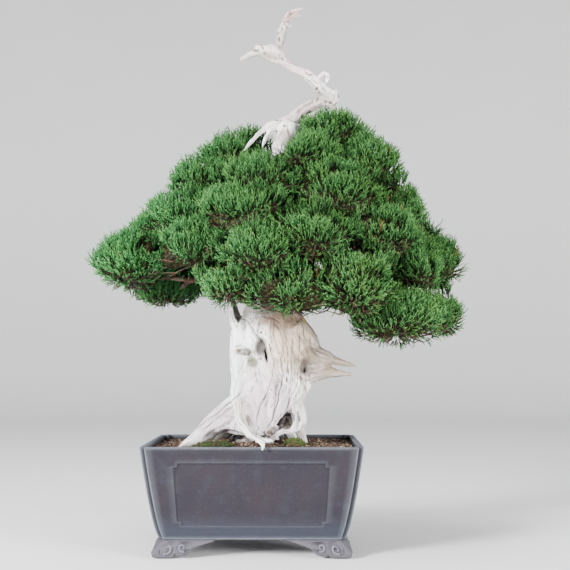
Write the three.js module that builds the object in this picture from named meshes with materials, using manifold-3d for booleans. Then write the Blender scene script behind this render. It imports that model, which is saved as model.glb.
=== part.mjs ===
// Itoigawa juniper bonsai in a deep rectangular stoneware pot.
// Millimetres, +Z up, the front towards -Y. The origin is the middle of the underside of the whole.
// A twisted trunk of bleached deadwood rises out of the crown as dead arms, live wood climbs behind
// it and carries the foliage pads, and all of it stands in the soil of the pot.
import * as THREE from 'three';
import * as BufferGeometryUtils from 'three/addons/utils/BufferGeometryUtils.js';
import Module from 'manifold-3d';

const wasm = await Module();
wasm.setup();

// Driving sizes
const GAP = 0.35;
const wholeMiddle = { x: 36, y: 1 };
const pot = {
  rimX: 170, rimY: 127.5, baseX: 143, baseY: 105, rimZ: 172, baseZ: 28, swell: 0.7,
  wall: 8, floor: 10, notch: 10, levels: [0, 0.1, 0.28, 0.6, 1],
  holeX: 70, holeRadius: 11,
};
const panel = { halfX: 117, halfY: 84, low: 50, high: 147, step: 10, width: 3.2, relief: 1.6 };
const foot = { length: 96, sideLength: 78, height: 29, thickness: 14, overhang: 8 };
const soil = { edge: 164, mound: 9, moundWidth: 75, moundX: 15, cell: 27, grain: 2 };
const screen = { side: 34, thickness: 1.2, holes: 2, hole: 10 };
const foliage = {
  core: 0.77, tip: 1.04, tipSpread: 0.07, lean: 0.5, lump: 0.06, clear: 0.06, fill: [1.16, 1.36, 1.74],
};

// The crown as a whole: its left and right ends at each height, and the height of its underside
// at each place across. Its depth is a part of its width.
const crown = {
  depth: 0.66, deepest: 205,
  left: [
    [375, -100], [394, -181], [420, -215], [440, -262], [459, -276], [472, -270], [500, -240],
    [530, -203], [555, -176], [588, -154], [615, -129], [648, -85], [667, -56], [688, -10],
    [698, 68], [722, 100],
  ],
  right: [
    [322, 270], [339, 322], [352, 350], [369, 348], [400, 330], [424, 312], [438, 350], [452, 352],
    [475, 338], [508, 312], [535, 290], [560, 268], [595, 246], [610, 256], [633, 250], [658, 214],
    [688, 193], [706, 160], [722, 128],
  ],
  under: [
    [-276, 455], [-257, 428], [-207, 420], [-181, 396], [-133, 392], [-83, 380], [20, 384],
    [60, 366], [110, 346], [150, 330], [200, 322], [300, 326], [350, 345],
  ],
};

// A repeatable stream of numbers from 0 to 1
function seeded(seed) {
  let state = seed;
  return () => {
    state = (state + 0x6d2b79f5) | 0;
    let mixed = Math.imul(state ^ (state >>> 15), 1 | state);
    mixed = (mixed + Math.imul(mixed ^ (mixed >>> 7), 61 | mixed)) ^ mixed;
    return ((mixed ^ (mixed >>> 14)) >>> 0) / 4294967296;
  };
}

// Closed geometry as a solid for joining and cutting, and back
function solidFrom(geometry) {
  const bare = geometry.clone();
  bare.deleteAttribute('normal');
  bare.deleteAttribute('uv');
  const merged = BufferGeometryUtils.mergeVertices(bare, 1e-4);
  return new wasm.Manifold(new wasm.Mesh({
    numProp: 3,
    vertProperties: new Float32Array(merged.attributes.position.array),
    triVerts: new Uint32Array(merged.index.array),
  }));
}

function geometryFrom(solid) {
  const mesh = solid.getMesh();
  const geometry = new THREE.BufferGeometry();
  geometry.setAttribute('position', new THREE.BufferAttribute(mesh.vertProperties, 3));
  geometry.setIndex(new THREE.BufferAttribute(mesh.triVerts, 1));
  return geometry;
}

function joined(solids) {
  return solids.reduce((whole, next) => whole.add(next));
}

// The largest body of a solid, without the scraps that a cut leaves
function largest(solid) {
  return solid.decompose().reduce((best, body) => (body.volume() > best.volume() ? body : best));
}

// A closed surface from points and triangles, turned the right way out
function closedSurface(points, faces) {
  let volume = 0;
  for (const [a, b, c] of faces) {
    volume += points[a].dot(new THREE.Vector3().crossVectors(points[b], points[c]));
  }
  const outward = volume > 0 ? faces : faces.map(([a, b, c]) => [a, c, b]);
  const geometry = new THREE.BufferGeometry();
  const numbers = points.flatMap((point) => point.toArray());
  geometry.setAttribute('position', new THREE.Float32BufferAttribute(numbers, 3));
  geometry.setIndex(outward.flat());
  return geometry;
}

// Rings of points joined one to the next, with a fan from a tip over each end
function loft(rings, startTip, endTip) {
  const sides = rings[0].length;
  const points = rings.flat();
  const faces = [];
  for (let ring = 0; ring + 1 < rings.length; ring += 1) {
    for (let side = 0; side < sides; side += 1) {
      const a = ring * sides + side;
      const b = ring * sides + (side + 1) % sides;
      faces.push([a, b, b + sides], [a, b + sides, a + sides]);
    }
  }
  const last = (rings.length - 1) * sides;
  points.push(startTip, endTip);
  for (let side = 0; side < sides; side += 1) {
    const next = (side + 1) % sides;
    faces.push([points.length - 2, next, side], [points.length - 1, last + side, last + next]);
  }
  return closedSurface(points, faces);
}

// A limb through stations [x, y, z, radius], with ribs that wind round it as deadwood grain does
function limb(stations, options = {}) {
  const { sides = 6, perSpan = 1, ribs = 0, depth = 0.14, wind = 0, flat = 1, grow = 0 } = options;
  const curve = new THREE.CatmullRomCurve3(stations.map(([x, y, z]) => new THREE.Vector3(x, y, z)));
  const count = (stations.length - 1) * perSpan;
  const rings = [];
  let across = null;
  let start = null;
  let end = null;
  for (let i = 0; i <= count; i += 1) {
    const t = i / count;
    const station = Math.min(stations.length - 2, Math.floor(i / perSpan));
    const part = i / perSpan - station;
    const radius = THREE.MathUtils.lerp(stations[station][3], stations[station + 1][3], part) + grow;
    const along = curve.getTangent(t);
    if (across === null) {
      across = Math.abs(along.x) < 0.8 ? new THREE.Vector3(1, 0, 0) : new THREE.Vector3(0, 0, 1);
    }
    across.addScaledVector(along, -across.dot(along)).normalize();
    const beside = new THREE.Vector3().crossVectors(along, across);
    const centre = curve.getPoint(t);
    if (i === 0) {
      centre.addScaledVector(along, -grow);
      start = centre.clone().addScaledVector(along, -0.5 * radius);
    }
    if (i === count) {
      centre.addScaledVector(along, grow);
      end = centre.clone().addScaledVector(along, 0.8 * radius);
    }
    const ring = [];
    for (let side = 0; side < sides; side += 1) {
      const angle = (2 * Math.PI * side) / sides;
      const phase = angle - wind * i / count;
      const rib = ribs > 0 ? Math.cos(ribs * phase) + 0.6 * Math.cos((ribs + 3) * phase + 1.7) : 0;
      const reach = radius * (1 + depth * rib);
      ring.push(centre.clone()
        .addScaledVector(across, reach * Math.cos(angle))
        .addScaledVector(beside, reach * flat * Math.sin(angle)));
    }
    rings.push(ring);
  }
  return solidFrom(loft(rings, start, end));
}

// A round ball squeezed along each axis
function lump([x, y, z], [a, b, c]) {
  const geometry = new THREE.IcosahedronGeometry(1, 1);
  geometry.scale(a, b, c);
  geometry.translate(x, y, z);
  return solidFrom(geometry);
}

// Pot: the section is a rectangle with a square step cut out of each corner
function potOutline(halfX, halfY, z) {
  const corners = [];
  for (const [sx, sy] of [[1, 1], [-1, 1], [-1, -1], [1, -1]]) {
    const alongY = new THREE.Vector3(sx * halfX, sy * (halfY - pot.notch), z);
    const inner = new THREE.Vector3(sx * (halfX - pot.notch), sy * (halfY - pot.notch), z);
    const alongX = new THREE.Vector3(sx * (halfX - pot.notch), sy * halfY, z);
    corners.push(...(sx * sy > 0 ? [alongY, inner, alongX] : [alongX, inner, alongY]));
  }
  return corners;
}

function potHalf(z) {
  const height = Math.max(0, (z - pot.baseZ) / (pot.rimZ - pot.baseZ));
  const swell = height ** pot.swell;
  return [
    THREE.MathUtils.lerp(pot.baseX, pot.rimX, swell),
    THREE.MathUtils.lerp(pot.baseY, pot.rimY, swell),
  ];
}

function potLoft(inset, low, high) {
  const rings = pot.levels.map((level) => {
    const z = THREE.MathUtils.lerp(low, high, level);
    const [halfX, halfY] = potHalf(z);
    return potOutline(halfX - inset, halfY - inset, z);
  });
  return solidFrom(loft(rings, new THREE.Vector3(0, 0, low), new THREE.Vector3(0, 0, high)));
}

// The raised frame of a panel: a stepped loop (u, z) laid on a wall, on which onWall finds a point
function panelFrame(halfWidth, onWall) {
  const { low, high, step } = panel;
  const middle = (low + high) / 2;
  const quarter = [
    [halfWidth, middle], [halfWidth, high - step], [halfWidth - step, high - step],
    [halfWidth - step, high],
  ];
  const upper = [...quarter, ...quarter.slice().reverse().map(([u, z]) => [-u, z])];
  const lower = upper.slice(1, -1).reverse().map(([u, z]) => [u, 2 * middle - z]);
  const path = [...upper, ...lower].map(([u, z]) => new THREE.Vector2(u, z));
  const rings = path.map((here, i) => {
    const before = path[(i + path.length - 1) % path.length];
    const after = path[(i + 1) % path.length];
    const normals = [here.clone().sub(before), after.clone().sub(here)].map((step) => (
      new THREE.Vector2(-step.y, step.x).normalize()));
    const mitre = normals[0].add(normals[1]);
    mitre.multiplyScalar(panel.width / mitre.lengthSq());
    const section = [[1, -panel.relief], [0, panel.relief], [-1, -panel.relief]];
    return section.map(([aside, out]) => onWall(here.x + aside * mitre.x, here.y + aside * mitre.y, out));
  });
  const sides = rings[0].length;
  const faces = [];
  for (let ring = 0; ring < rings.length; ring += 1) {
    const next = ((ring + 1) % rings.length) * sides;
    for (let side = 0; side < sides; side += 1) {
      const a = ring * sides + side;
      const b = ring * sides + (side + 1) % sides;
      const c = next + (side + 1) % sides;
      faces.push([a, b, c], [a, c, next + side]);
    }
  }
  return solidFrom(closedSurface(rings.flat(), faces));
}

// A scroll foot: a corner lobe, a second lobe and a wedge that runs out along the wall
function footLeg(length, sign) {
  const { height } = foot;
  const outline = new THREE.Shape();
  const at = (along, up) => [sign * along * length, up * height];
  outline.moveTo(...at(0.09, 1));
  outline.bezierCurveTo(...at(0.02, 0.72), ...at(-0.04, 0.4), ...at(0.0, 0.2));
  outline.bezierCurveTo(...at(0.01, 0.05), ...at(0.04, 0), ...at(0.09, 0));
  outline.lineTo(...at(0.24, 0));
  outline.bezierCurveTo(...at(0.33, 0), ...at(0.35, 0.2), ...at(0.35, 0.22));
  outline.bezierCurveTo(...at(0.39, 0.08), ...at(0.52, 0.06), ...at(0.56, 0.3));
  outline.bezierCurveTo(...at(0.58, 0.6), ...at(0.8, 0.55), ...at(1, 1));
  const geometry = new THREE.ExtrudeGeometry(outline, {
    depth: foot.thickness, curveSegments: 2, bevelEnabled: false,
  });
  return geometry;
}

function potFeet() {
  const outerX = pot.baseX + foot.overhang;
  const outerY = pot.baseY + foot.overhang;
  const legs = [];
  for (const sx of [-1, 1]) {
    for (const sy of [-1, 1]) {
      const front = footLeg(foot.length, -sx);
      front.rotateX(Math.PI / 2);
      front.translate(sx * outerX, sy * outerY + (sy > 0 ? 0 : foot.thickness), 0);
      const side = footLeg(foot.sideLength, -sy);
      side.rotateX(Math.PI / 2);
      side.rotateZ(Math.PI / 2);
      side.translate(sx * outerX - (sx > 0 ? foot.thickness : 0), sy * outerY, 0);
      legs.push(solidFrom(front), solidFrom(side));
    }
  }
  return legs;
}

function drainHole(x) {
  const geometry = new THREE.CylinderGeometry(pot.holeRadius, pot.holeRadius, 4 * pot.floor, 12);
  geometry.rotateX(Math.PI / 2);
  geometry.translate(x, 0, pot.baseZ);
  return solidFrom(geometry);
}

function potSolid() {
  const frames = [];
  for (const sign of [-1, 1]) {
    frames.push(panelFrame(panel.halfX, (u, z, out) => (
      new THREE.Vector3(sign * u, sign * (potHalf(z)[1] + out), z))));
    frames.push(panelFrame(panel.halfY, (u, z, out) => (
      new THREE.Vector3(sign * (potHalf(z)[0] + out), -sign * u, z))));
  }
  const body = joined([potLoft(0, pot.baseZ, pot.rimZ), ...frames, ...potFeet()]);
  const inside = potLoft(pot.wall, pot.baseZ + pot.floor, pot.rimZ + 5);
  return body.subtract(inside).subtract(drainHole(-pot.holeX)).subtract(drainHole(pot.holeX));
}

// Mesh screens lie on the floor of the pot over the drainage holes
function screenSolid(x) {
  const plate = new THREE.BoxGeometry(screen.side, screen.side, screen.thickness);
  const pitch = screen.side / (screen.holes + 0.4);
  let solid = solidFrom(plate);
  for (let row = 0; row < screen.holes; row += 1) {
    for (let column = 0; column < screen.holes; column += 1) {
      const hole = new THREE.BoxGeometry(screen.hole, screen.hole, 2 * screen.thickness);
      hole.translate((column - (screen.holes - 1) / 2) * pitch, (row - (screen.holes - 1) / 2) * pitch, 0);
      solid = solid.subtract(solidFrom(hole));
    }
  }
  return solid.translate([x, 0, pot.baseZ + pot.floor + GAP + screen.thickness / 2]);
}

function screenRoom(x) {
  const side = screen.side + 2 * GAP;
  const height = screen.thickness + 4 * GAP;
  const geometry = new THREE.BoxGeometry(side, side, height);
  geometry.translate(x, 0, pot.baseZ + pot.floor + height / 2 - GAP);
  return solidFrom(geometry);
}

// Soil: it fills the pot, mounds towards the trunk, and its top is grainy
function soilHeight(x, y) {
  const away = ((x - soil.moundX) ** 2 + y ** 2) / (2 * soil.moundWidth ** 2);
  return soil.edge + soil.mound * Math.exp(-away);
}

function soilBlock() {
  const random = seeded(7);
  const width = 2 * pot.rimX;
  const length = 2 * pot.rimY;
  const across = Math.round(width / soil.cell);
  const deep = Math.round(length / soil.cell);
  const low = pot.baseZ;
  const points = [];
  const faces = [];
  const row = across + 1;
  for (let j = 0; j <= deep; j += 1) {
    for (let i = 0; i <= across; i += 1) {
      const x = (i / across - 0.5) * width;
      const y = (j / deep - 0.5) * length;
      const shift = soil.cell * 0.3;
      const grain = soil.grain * (2 * random() - 1);
      const top = new THREE.Vector3(x + shift * (random() - 0.5), y + shift * (random() - 0.5), 0);
      top.z = soilHeight(x, y) + grain;
      points.push(top, new THREE.Vector3(top.x, top.y, low));
    }
  }
  const wall = (a, b) => faces.push([2 * a, 2 * b, 2 * b + 1], [2 * a, 2 * b + 1, 2 * a + 1]);
  for (let j = 0; j < deep; j += 1) {
    for (let i = 0; i < across; i += 1) {
      const a = j * row + i;
      const square = [a, a + 1, a + row + 1, a + row];
      const [p, q, r, s] = square.map((k) => 2 * k);
      faces.push([p, q, r], [p, r, s], [p + 1, r + 1, q + 1], [p + 1, s + 1, r + 1]);
    }
  }
  for (let i = 0; i < across; i += 1) {
    wall(i + 1, i);
    wall(deep * row + i, deep * row + i + 1);
  }
  for (let j = 0; j < deep; j += 1) {
    wall(j * row, (j + 1) * row);
    wall((j + 1) * row + across, j * row + across);
  }
  return solidFrom(closedSurface(points, faces));
}

// Deadwood: stations [x, y, z, radius] of the trunk, its roots, its spikes and the dead arms on top
const trunk = [
  [0, 4, 150, 36], [1, 3, 190, 38], [10, 2, 222, 49], [17, 1, 255, 58], [22, 2, 300, 63],
  [26, 4, 345, 60], [30, 6, 385, 46], [35, 6, 440, 31], [39, 4, 510, 25], [41, 2, 580, 21],
  [42, 0, 632, 18], [46, -1, 670, 15], [54, -2, 704, 15],
];
const deadLimbs = [
  { at: [[-18, -8, 222, 32], [-46, -22, 210, 23], [-68, -32, 198, 18], [-90, -40, 180, 13],
    [-110, -46, 166, 9], [-124, -50, 156, 5]], sides: 8, ribs: 3, wind: 2 },
  { at: [[-2, -30, 306, 18], [-15, -46, 266, 17], [-25, -62, 238, 14], [-20, -88, 212, 11],
    [-4, -108, 190, 8], [12, -121, 182, 5.5], [20, -130, 178, 4]], sides: 8, ribs: 3, wind: 3 },
  { at: [[-3, -107, 190, 5], [16, -112, 183, 4.5], [32, -114, 180, 2.5]], sides: 5 },
  { at: [[50, -16, 252, 18], [64, -28, 226, 10], [66, -38, 203, 9], [56, -46, 188, 9],
    [37, -52, 178, 10], [18, -56, 164, 10]], sides: 6 },
  { at: [[62, -20, 230, 11], [72, -20, 198, 9], [85, -14, 156, 7]], sides: 6 },
  { at: [[36, 26, 240, 25], [54, 56, 196, 17], [70, 84, 156, 9]], sides: 6 },
  { at: [[-18, 20, 228, 24], [-48, 46, 186, 14], [-72, 62, 156, 7]], sides: 6 },
  { at: [[62, -4, 342, 22], [98, -8, 320, 13], [125, -14, 307, 9], [144, -20, 299, 5],
    [163, -26, 294, 1]], sides: 6 },
  { at: [[62, -10, 288, 22], [104, -16, 285, 12], [131, -22, 284, 8], [158, -30, 280, 1]], sides: 6 },
  { at: [[-12, -20, 280, 26], [-22, -22, 326, 18], [-29, -18, 366, 12], [-36, -12, 397, 6],
    [-43, -6, 418, 1]], sides: 6 },
  { at: [[36, -26, 352, 16], [50, -32, 300, 16], [45, -33, 250, 15], [30, -36, 205, 12],
    [26, -44, 164, 9]], sides: 6 },
  { at: [[52, 0, 696, 11], [79, 8, 724, 9], [102, 16, 739, 8], [123, 22, 747, 8]], sides: 6 },
  { at: [[124, 22, 737, 7], [133, 22, 748, 9], [134, 22, 760, 6]], sides: 6 },
  { at: [[131, 22, 750, 9], [114, 18, 760, 10], [102, 10, 773, 9], [87, 2, 783, 8], [65, -8, 791, 7],
    [47, -14, 801, 7], [26, -18, 804, 6], [9, -20, 812, 6.5], [-8, -24, 811, 3.5],
    [-23, -26, 798, 0.8]], sides: 6 },
  { at: [[41, -14, 800, 7], [38, -12, 821, 6], [44, -8, 839, 7], [46, -2, 857, 7], [52, 4, 874, 6],
    [60, 8, 885, 4.5], [78, 12, 896, 0.8]], sides: 6 },
  { at: [[53, 5, 877, 3], [64, 10, 884, 2.2], [75, 16, 886, 0.8]], sides: 5 },
  { at: [[102, 9, 772, 3], [108, 6, 781, 2.4], [115, 2, 787, 2.2], [122, -2, 783, 2], [118, -4, 767, 0.8]],
    sides: 5 },
  { at: [[50, -4, 704, 8], [24, -20, 694, 5], [3, -34, 671, 3.5], [-12, -44, 646, 0.8]], sides: 6 },
  { at: [[50, -4, 696, 8], [29, -22, 686, 5], [18, -34, 666, 3.5], [12, -42, 648, 0.8]], sides: 6 },
];
const hollows = [
  { at: [-24, -58, 178], half: [22, 46, 13] },
  { at: [46, -46, 204], half: [14, 60, 10] },
  { at: [-12, -62, 316], half: [9, 16, 9] },
  { at: [19, -64, 322], half: [6, 22, 13] },
  { at: [12, -58, 352], half: [4, 14, 5] },
  { at: [84, -30, 300], half: [9, 10, 8] },
];

function deadwoodSolid(grow) {
  const trunkLimb = limb(trunk, { sides: 16, perSpan: 2, ribs: 5, depth: 0.08, wind: 4.5, flat: 0.78, grow });
  const limbs = deadLimbs.map(({ at, ...options }) => limb(at, { ...options, grow }));
  const cuts = hollows.map(({ at, half }) => lump(at, half.map((size) => size - grow)));
  return largest(joined([trunkLimb, ...limbs]).subtract(joined(cuts)));
}

// Where the trunk's middle is at a height, and how wide it is there
function trunkAt(z) {
  const above = Math.max(1, trunk.findIndex((station) => station[2] > z));
  const [low, high] = z >= trunk.at(-1)[2] ? trunk.slice(-2) : [trunk[above - 1], trunk[above]];
  const part = THREE.MathUtils.clamp((z - low[2]) / (high[2] - low[2]), 0, 1);
  return low.map((value, i) => THREE.MathUtils.lerp(value, high[i], part));
}

// Foliage pads: the middle of each, its half sizes, and how finely its surface is divided
const TINY = ['octa', 1];
const COARSE = ['octa', 2];
const MIDDLE = ['ico', 1];
const FINE = ['octa', 3];
const pads = [
  ['left_low', [-209, -10, 460], [65, 60, 36], FINE],
  ['left_low_under', [-160, 48, 414], [52, 42, 18], MIDDLE, 'left_low'],
  ['left_mid_outer', [-196, 62, 518], [58, 52, 25], MIDDLE, 'left_upper_mid'],
  ['left_mid_front', [-88, -80, 478], [60, 52, 29], FINE],
  ['left_upper_mid', [-106, -12, 544], [80, 60, 28], FINE],
  ['left_upper', [-88, -4, 596], [64, 54, 27], MIDDLE],
  ['left_crest', [-50, 0, 640], [52, 46, 24], MIDDLE],
  ['left_peak', [-10, 22, 678], [30, 34, 20], TINY, 'left_crest'],
  ['right_peak', [142, 12, 692], [66, 50, 32], FINE],
  ['centre_peak', [76, -58, 632], [52, 40, 23], COARSE, 'right_peak'],
  ['right_upper', [194, -4, 630], [62, 52, 30], MIDDLE],
  ['centre_upper', [14, -80, 585], [62, 44, 23], MIDDLE],
  ['right_mid_front', [130, -72, 570], [78, 50, 31], MIDDLE],
  ['right_mid_outer', [246, 4, 556], [60, 55, 38], MIDDLE],
  ['centre_mid', [-10, -112, 537], [66, 42, 23], MIDDLE],
  ['centre_right_mid', [86, -126, 490], [72, 46, 29], MIDDLE],
  ['right_middle', [200, -78, 500], [58, 46, 29], MIDDLE],
  ['right_tip', [318, 8, 463], [36, 40, 33], COARSE, 'right_hang'],
  ['right_behind', [290, 62, 512], [42, 42, 27], COARSE, 'right_mid_outer'],
  ['right_hang', [262, -46, 440], [38, 42, 34], COARSE],
  ['right_low_front', [154, -116, 426], [66, 50, 38], MIDDLE],
  ['centre_low_front', [16, -148, 462], [64, 44, 26], MIDDLE],
  ['right_low', [228, -44, 370], [74, 58, 38], FINE, 'right_low_front'],
  ['right_low_tip', [326, 22, 376], [30, 38, 34], COARSE, 'right_low'],
  ['left_inner_low', [-32, -128, 414], [40, 40, 26], COARSE, 'centre_low_front'],
  ['centre_low', [64, -146, 400], [60, 46, 32], MIDDLE, 'right_low_front'],
  ['back_left_low', [-112, 112, 462], [66, 56, 32], MIDDLE],
  ['back_left_mid', [-84, 108, 548], [60, 50, 29], COARSE, 'back_left_low'],
  ['back_top', [34, 92, 632], [86, 46, 28], MIDDLE, 'back_middle'],
  ['back_right_mid', [182, 102, 562], [66, 54, 33], MIDDLE],
  ['back_right_low', [214, 118, 462], [68, 56, 34], MIDDLE, 'back_right_mid'],
  ['back_middle_low', [52, 146, 440], [70, 52, 32], MIDDLE],
  ['back_middle', [44, 132, 528], [66, 50, 34], MIDDLE],
].map(([name, at, half, grid, via], index) => ({
  name: `pad_${name}`, at: new THREE.Vector3(...at), half: half.map((size, i) => size * foliage.fill[i]),
  grid, via: `pad_${via}`, index,
}));

// How far a point is from the middle of a pad, where 1 is the pad's own outer shape
function padMeasure(pad, point) {
  const [a, b, h] = pad.half;
  const offset = point.clone().sub(pad.at);
  return Math.hypot(offset.x / a, offset.y / b, offset.z / h);
}

function padPoint(pad, direction, reach) {
  const [a, b, h] = pad.half;
  const offset = new THREE.Vector3(a * direction.x, b * direction.y, h * direction.z);
  return offset.multiplyScalar(reach).add(pad.at);
}

// A value read between the rows [place, value] of a list
function between(rows, place) {
  const above = THREE.MathUtils.clamp(rows.findIndex((row) => row[0] >= place), 1, rows.length - 1);
  const [low, high] = place > rows.at(-1)[0] ? rows.slice(-2) : [rows[above - 1], rows[above]];
  const part = THREE.MathUtils.clamp((place - low[0]) / (high[0] - low[0]), 0, 1);
  return THREE.MathUtils.lerp(low[1], high[1], part);
}

function inCrown(point) {
  const top = crown.right.at(-1)[0];
  const left = between(crown.left, point.z);
  const right = between(crown.right, point.z);
  const half = (right - left) / 2;
  const deep = Math.min(crown.deepest, crown.depth * half);
  const round = ((point.x - left - half) / half) ** 2 + (point.y / deep) ** 4;
  return point.z < top && round < 1 && point.z > between(crown.under, point.x);
}

// How far a pad may grow in a direction before it meets another pad, the trunk or the crown's outline
function padRoom(pad, direction) {
  const steps = 60;
  const furthest = foliage.tip + foliage.tipSpread + 0.1;
  for (let i = 6; i <= steps; i += 1) {
    const reach = (i / steps) * furthest;
    const point = padPoint(pad, direction, reach);
    const [x, y, , radius] = trunkAt(point.z);
    const inTrunk = Math.hypot(point.x - x, point.y - y) < radius + 4;
    const taken = pads.some((other) => (
      other !== pad && padMeasure(other, point) < reach + foliage.clear));
    if (inTrunk || taken || !inCrown(point)) return ((i - 1) / steps) * furthest;
  }
  return furthest;
}

function padGrid([kind, detail]) {
  const geometry = kind === 'ico'
    ? new THREE.IcosahedronGeometry(1, detail) : new THREE.OctahedronGeometry(1, detail);
  geometry.deleteAttribute('normal');
  geometry.deleteAttribute('uv');
  const merged = BufferGeometryUtils.mergeVertices(geometry, 1e-4);
  const points = [];
  for (let i = 0; i < merged.attributes.position.count; i += 1) {
    points.push(new THREE.Vector3().fromBufferAttribute(merged.attributes.position, i).normalize());
  }
  const numbers = Array.from(merged.index.array);
  const faces = [];
  while (numbers.length > 0) faces.push(numbers.splice(0, 3));
  return { points, faces };
}

// A pad: a lumpy core, and a shoot raised from every triangle of it, leaning upwards as it grows out
function padSolid(pad) {
  const random = seeded(100 + pad.index);
  const turn = new THREE.Euler(random() * 6.28, random() * 6.28, random() * 6.28);
  const { points, faces } = padGrid(pad.grid);
  const directions = points.map((point) => point.clone().applyEuler(turn));
  const phase = random() * 6.28;
  const lumpy = (d) => 1 + foliage.lump * (Math.sin(4 * d.x + phase) + Math.sin(5 * d.y + 2 * phase)
    * Math.cos(3 * d.z));
  const core = directions.map((direction) => {
    const reach = Math.min(foliage.core * lumpy(direction), 0.84 * padRoom(pad, direction));
    return padPoint(pad, direction, reach);
  });
  const shoots = faces.map((face) => {
    const outward = new THREE.Vector3();
    face.forEach((corner) => outward.add(directions[corner]));
    outward.normalize();
    const lean = foliage.lean * THREE.MathUtils.smoothstep(outward.z, -0.7, 0.5);
    outward.z += lean * Math.sqrt(20 / faces.length);
    outward.normalize();
    const wanted = (foliage.tip + foliage.tipSpread * (2 * random() - 1)) * lumpy(outward);
    return padPoint(pad, outward, Math.min(wanted, padRoom(pad, outward)));
  });
  const raised = faces.flatMap(([a, b, c], i) => {
    const tip = core.length + i;
    return [[a, b, tip], [b, c, tip], [c, a, tip]];
  });
  return solidFrom(closedSurface([...core, ...shoots], raised));
}

// Live wood: the vein up the back of the trunk, and a branch from it into each pad
const vein = [
  [-2, 60, 150, 15], [4, 61, 205, 15], [16, 68, 262, 14], [25, 70, 330, 14], [34, 57, 400, 12],
  [38, 42, 470, 11], [42, 34, 560, 9], [44, 28, 640, 7],
];
const branch = {
  tiers: [400, 455, 510, 565, 625], thick: 9, thin: 3.4, droop: 0.06, sag: 10, past: 10,
  forward: 8, back: 60,
};

function veinAt(z) {
  const above = Math.max(1, vein.findIndex((station) => station[2] >= z));
  const part = (z - vein[above - 1][2]) / (vein[above][2] - vein[above - 1][2]);
  return vein[above].map((value, i) => THREE.MathUtils.lerp(vein[above - 1][i], value, part));
}

// Branches leave the vein in tiers, and on each tier a stub leads round the trunk on either side
function stubEnd(z, side) {
  const [x, , , radius] = trunkAt(z);
  return [x + side * (radius + branch.past), veinAt(z)[1] - branch.forward, z, branch.thick];
}

function tierOf(pad) {
  const end = pad.at.clone();
  end.z -= 0.25 * pad.half[2];
  const distance = Math.hypot(end.x - trunkAt(end.z)[0], end.y);
  const wanted = end.z + branch.droop * distance;
  const z = branch.tiers.reduce((best, tier) => (
    Math.abs(tier - wanted) < Math.abs(best - wanted) ? tier : best));
  const fork = pads.find((other) => other.name === pad.via);
  return { end, distance, z, side: Math.sign(end.x - trunkAt(z)[0]), fork, behind: end.y > branch.back };
}

function branchStations(pad) {
  const { end, distance, z, side, fork, behind } = tierOf(pad);
  const tip = [...end.toArray(), branch.thin];
  if (fork) {
    const start = branchStations(fork).at(-2);
    return [start, tip].map(([x, y, height, radius]) => [x, y, height, 0.95 * radius]);
  }
  const start = behind ? veinAt(z) : stubEnd(z, side);
  start[3] = branch.thick * THREE.MathUtils.clamp(distance / 200, 0.6, 1);
  const middle = start.map((value, i) => THREE.MathUtils.lerp(value, tip[i], 0.5));
  middle[2] -= Math.min(branch.sag, 0.05 * distance);
  return [start, middle, tip];
}

function liveWoodSolid(grow) {
  const climbing = limb(vein, { sides: 7, ribs: 2, depth: 0.1, wind: 2, flat: 0.8, grow });
  const placed = pads.map(tierOf).filter(({ fork, behind }) => !fork && !behind);
  const stubs = branch.tiers.flatMap((tier) => [-1, 1].filter((side) => (
    placed.some((one) => one.z === tier && one.side === side))).map((side) => (
    limb([veinAt(tier), stubEnd(tier, side)], { sides: 4, grow }))));
  const branches = pads.map((pad) => limb(branchStations(pad), { sides: 4, grow }));
  return joined([climbing, ...stubs, ...branches]);
}

// Moss: low cushions that lie on the soil against the roots
const cushions = [
  ['moss_right', [66, -52, 170], [20, 15, 13], TINY],
  ['moss_left', [-62, -68, 166], [36, 22, 14], COARSE],
].map(([name, at, half, grid], index) => (
  { name, at: new THREE.Vector3(...at), half, grid, index }));

function cushionSolid(cushion) {
  const random = seeded(50 + cushion.index);
  const { points, faces } = padGrid(cushion.grid);
  const core = points.map((point) => padPoint(cushion, point, 0.86));
  const tufts = faces.map((face) => {
    const outward = new THREE.Vector3();
    face.forEach((corner) => outward.add(points[corner]));
    return padPoint(cushion, outward.normalize(), 1 + 0.08 * random());
  });
  const raised = faces.flatMap(([a, b, c], i) => {
    const tip = core.length + i;
    return [[a, b, tip], [b, c, tip], [c, a, tip]];
  });
  return solidFrom(closedSurface([...core, ...tufts], raised));
}

// Materials
const materials = {
  stoneware: new THREE.MeshStandardMaterial({ color: 0x6f6876, roughness: 0.85, metalness: 0 }),
  plastic: new THREE.MeshStandardMaterial({ color: 0x1c1c1c, roughness: 0.6, metalness: 0 }),
  soil: new THREE.MeshStandardMaterial({ color: 0x4a3c31, roughness: 1, metalness: 0 }),
  deadwood: new THREE.MeshStandardMaterial({ color: 0xdcd6cf, roughness: 0.85, metalness: 0 }),
  bark: new THREE.MeshStandardMaterial({ color: 0x6b4a38, roughness: 0.9, metalness: 0 }),
  foliage: new THREE.MeshStandardMaterial({ color: 0x4f8a4c, roughness: 0.7, metalness: 0 }),
  moss: new THREE.MeshStandardMaterial({ color: 0x64822a, roughness: 0.95, metalness: 0 }),
};

// The whole, with every piece cut clear of those it touches
const tree = new THREE.Group();

function place(name, solid, material) {
  const mesh = new THREE.Mesh(geometryFrom(solid), material);
  mesh.name = name;
  tree.add(mesh);
}

const deadwoodRoom = deadwoodSolid(GAP + 0.15);
const liveRoom = liveWoodSolid(GAP + 0.15);
const woodRoom = deadwoodRoom.add(liveRoom);
const screens = [['screen_left', -pot.holeX], ['screen_right', pot.holeX]];

place('pot', potSolid(), materials.stoneware);
for (const [name, x] of screens) place(name, screenSolid(x), materials.plastic);

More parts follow.
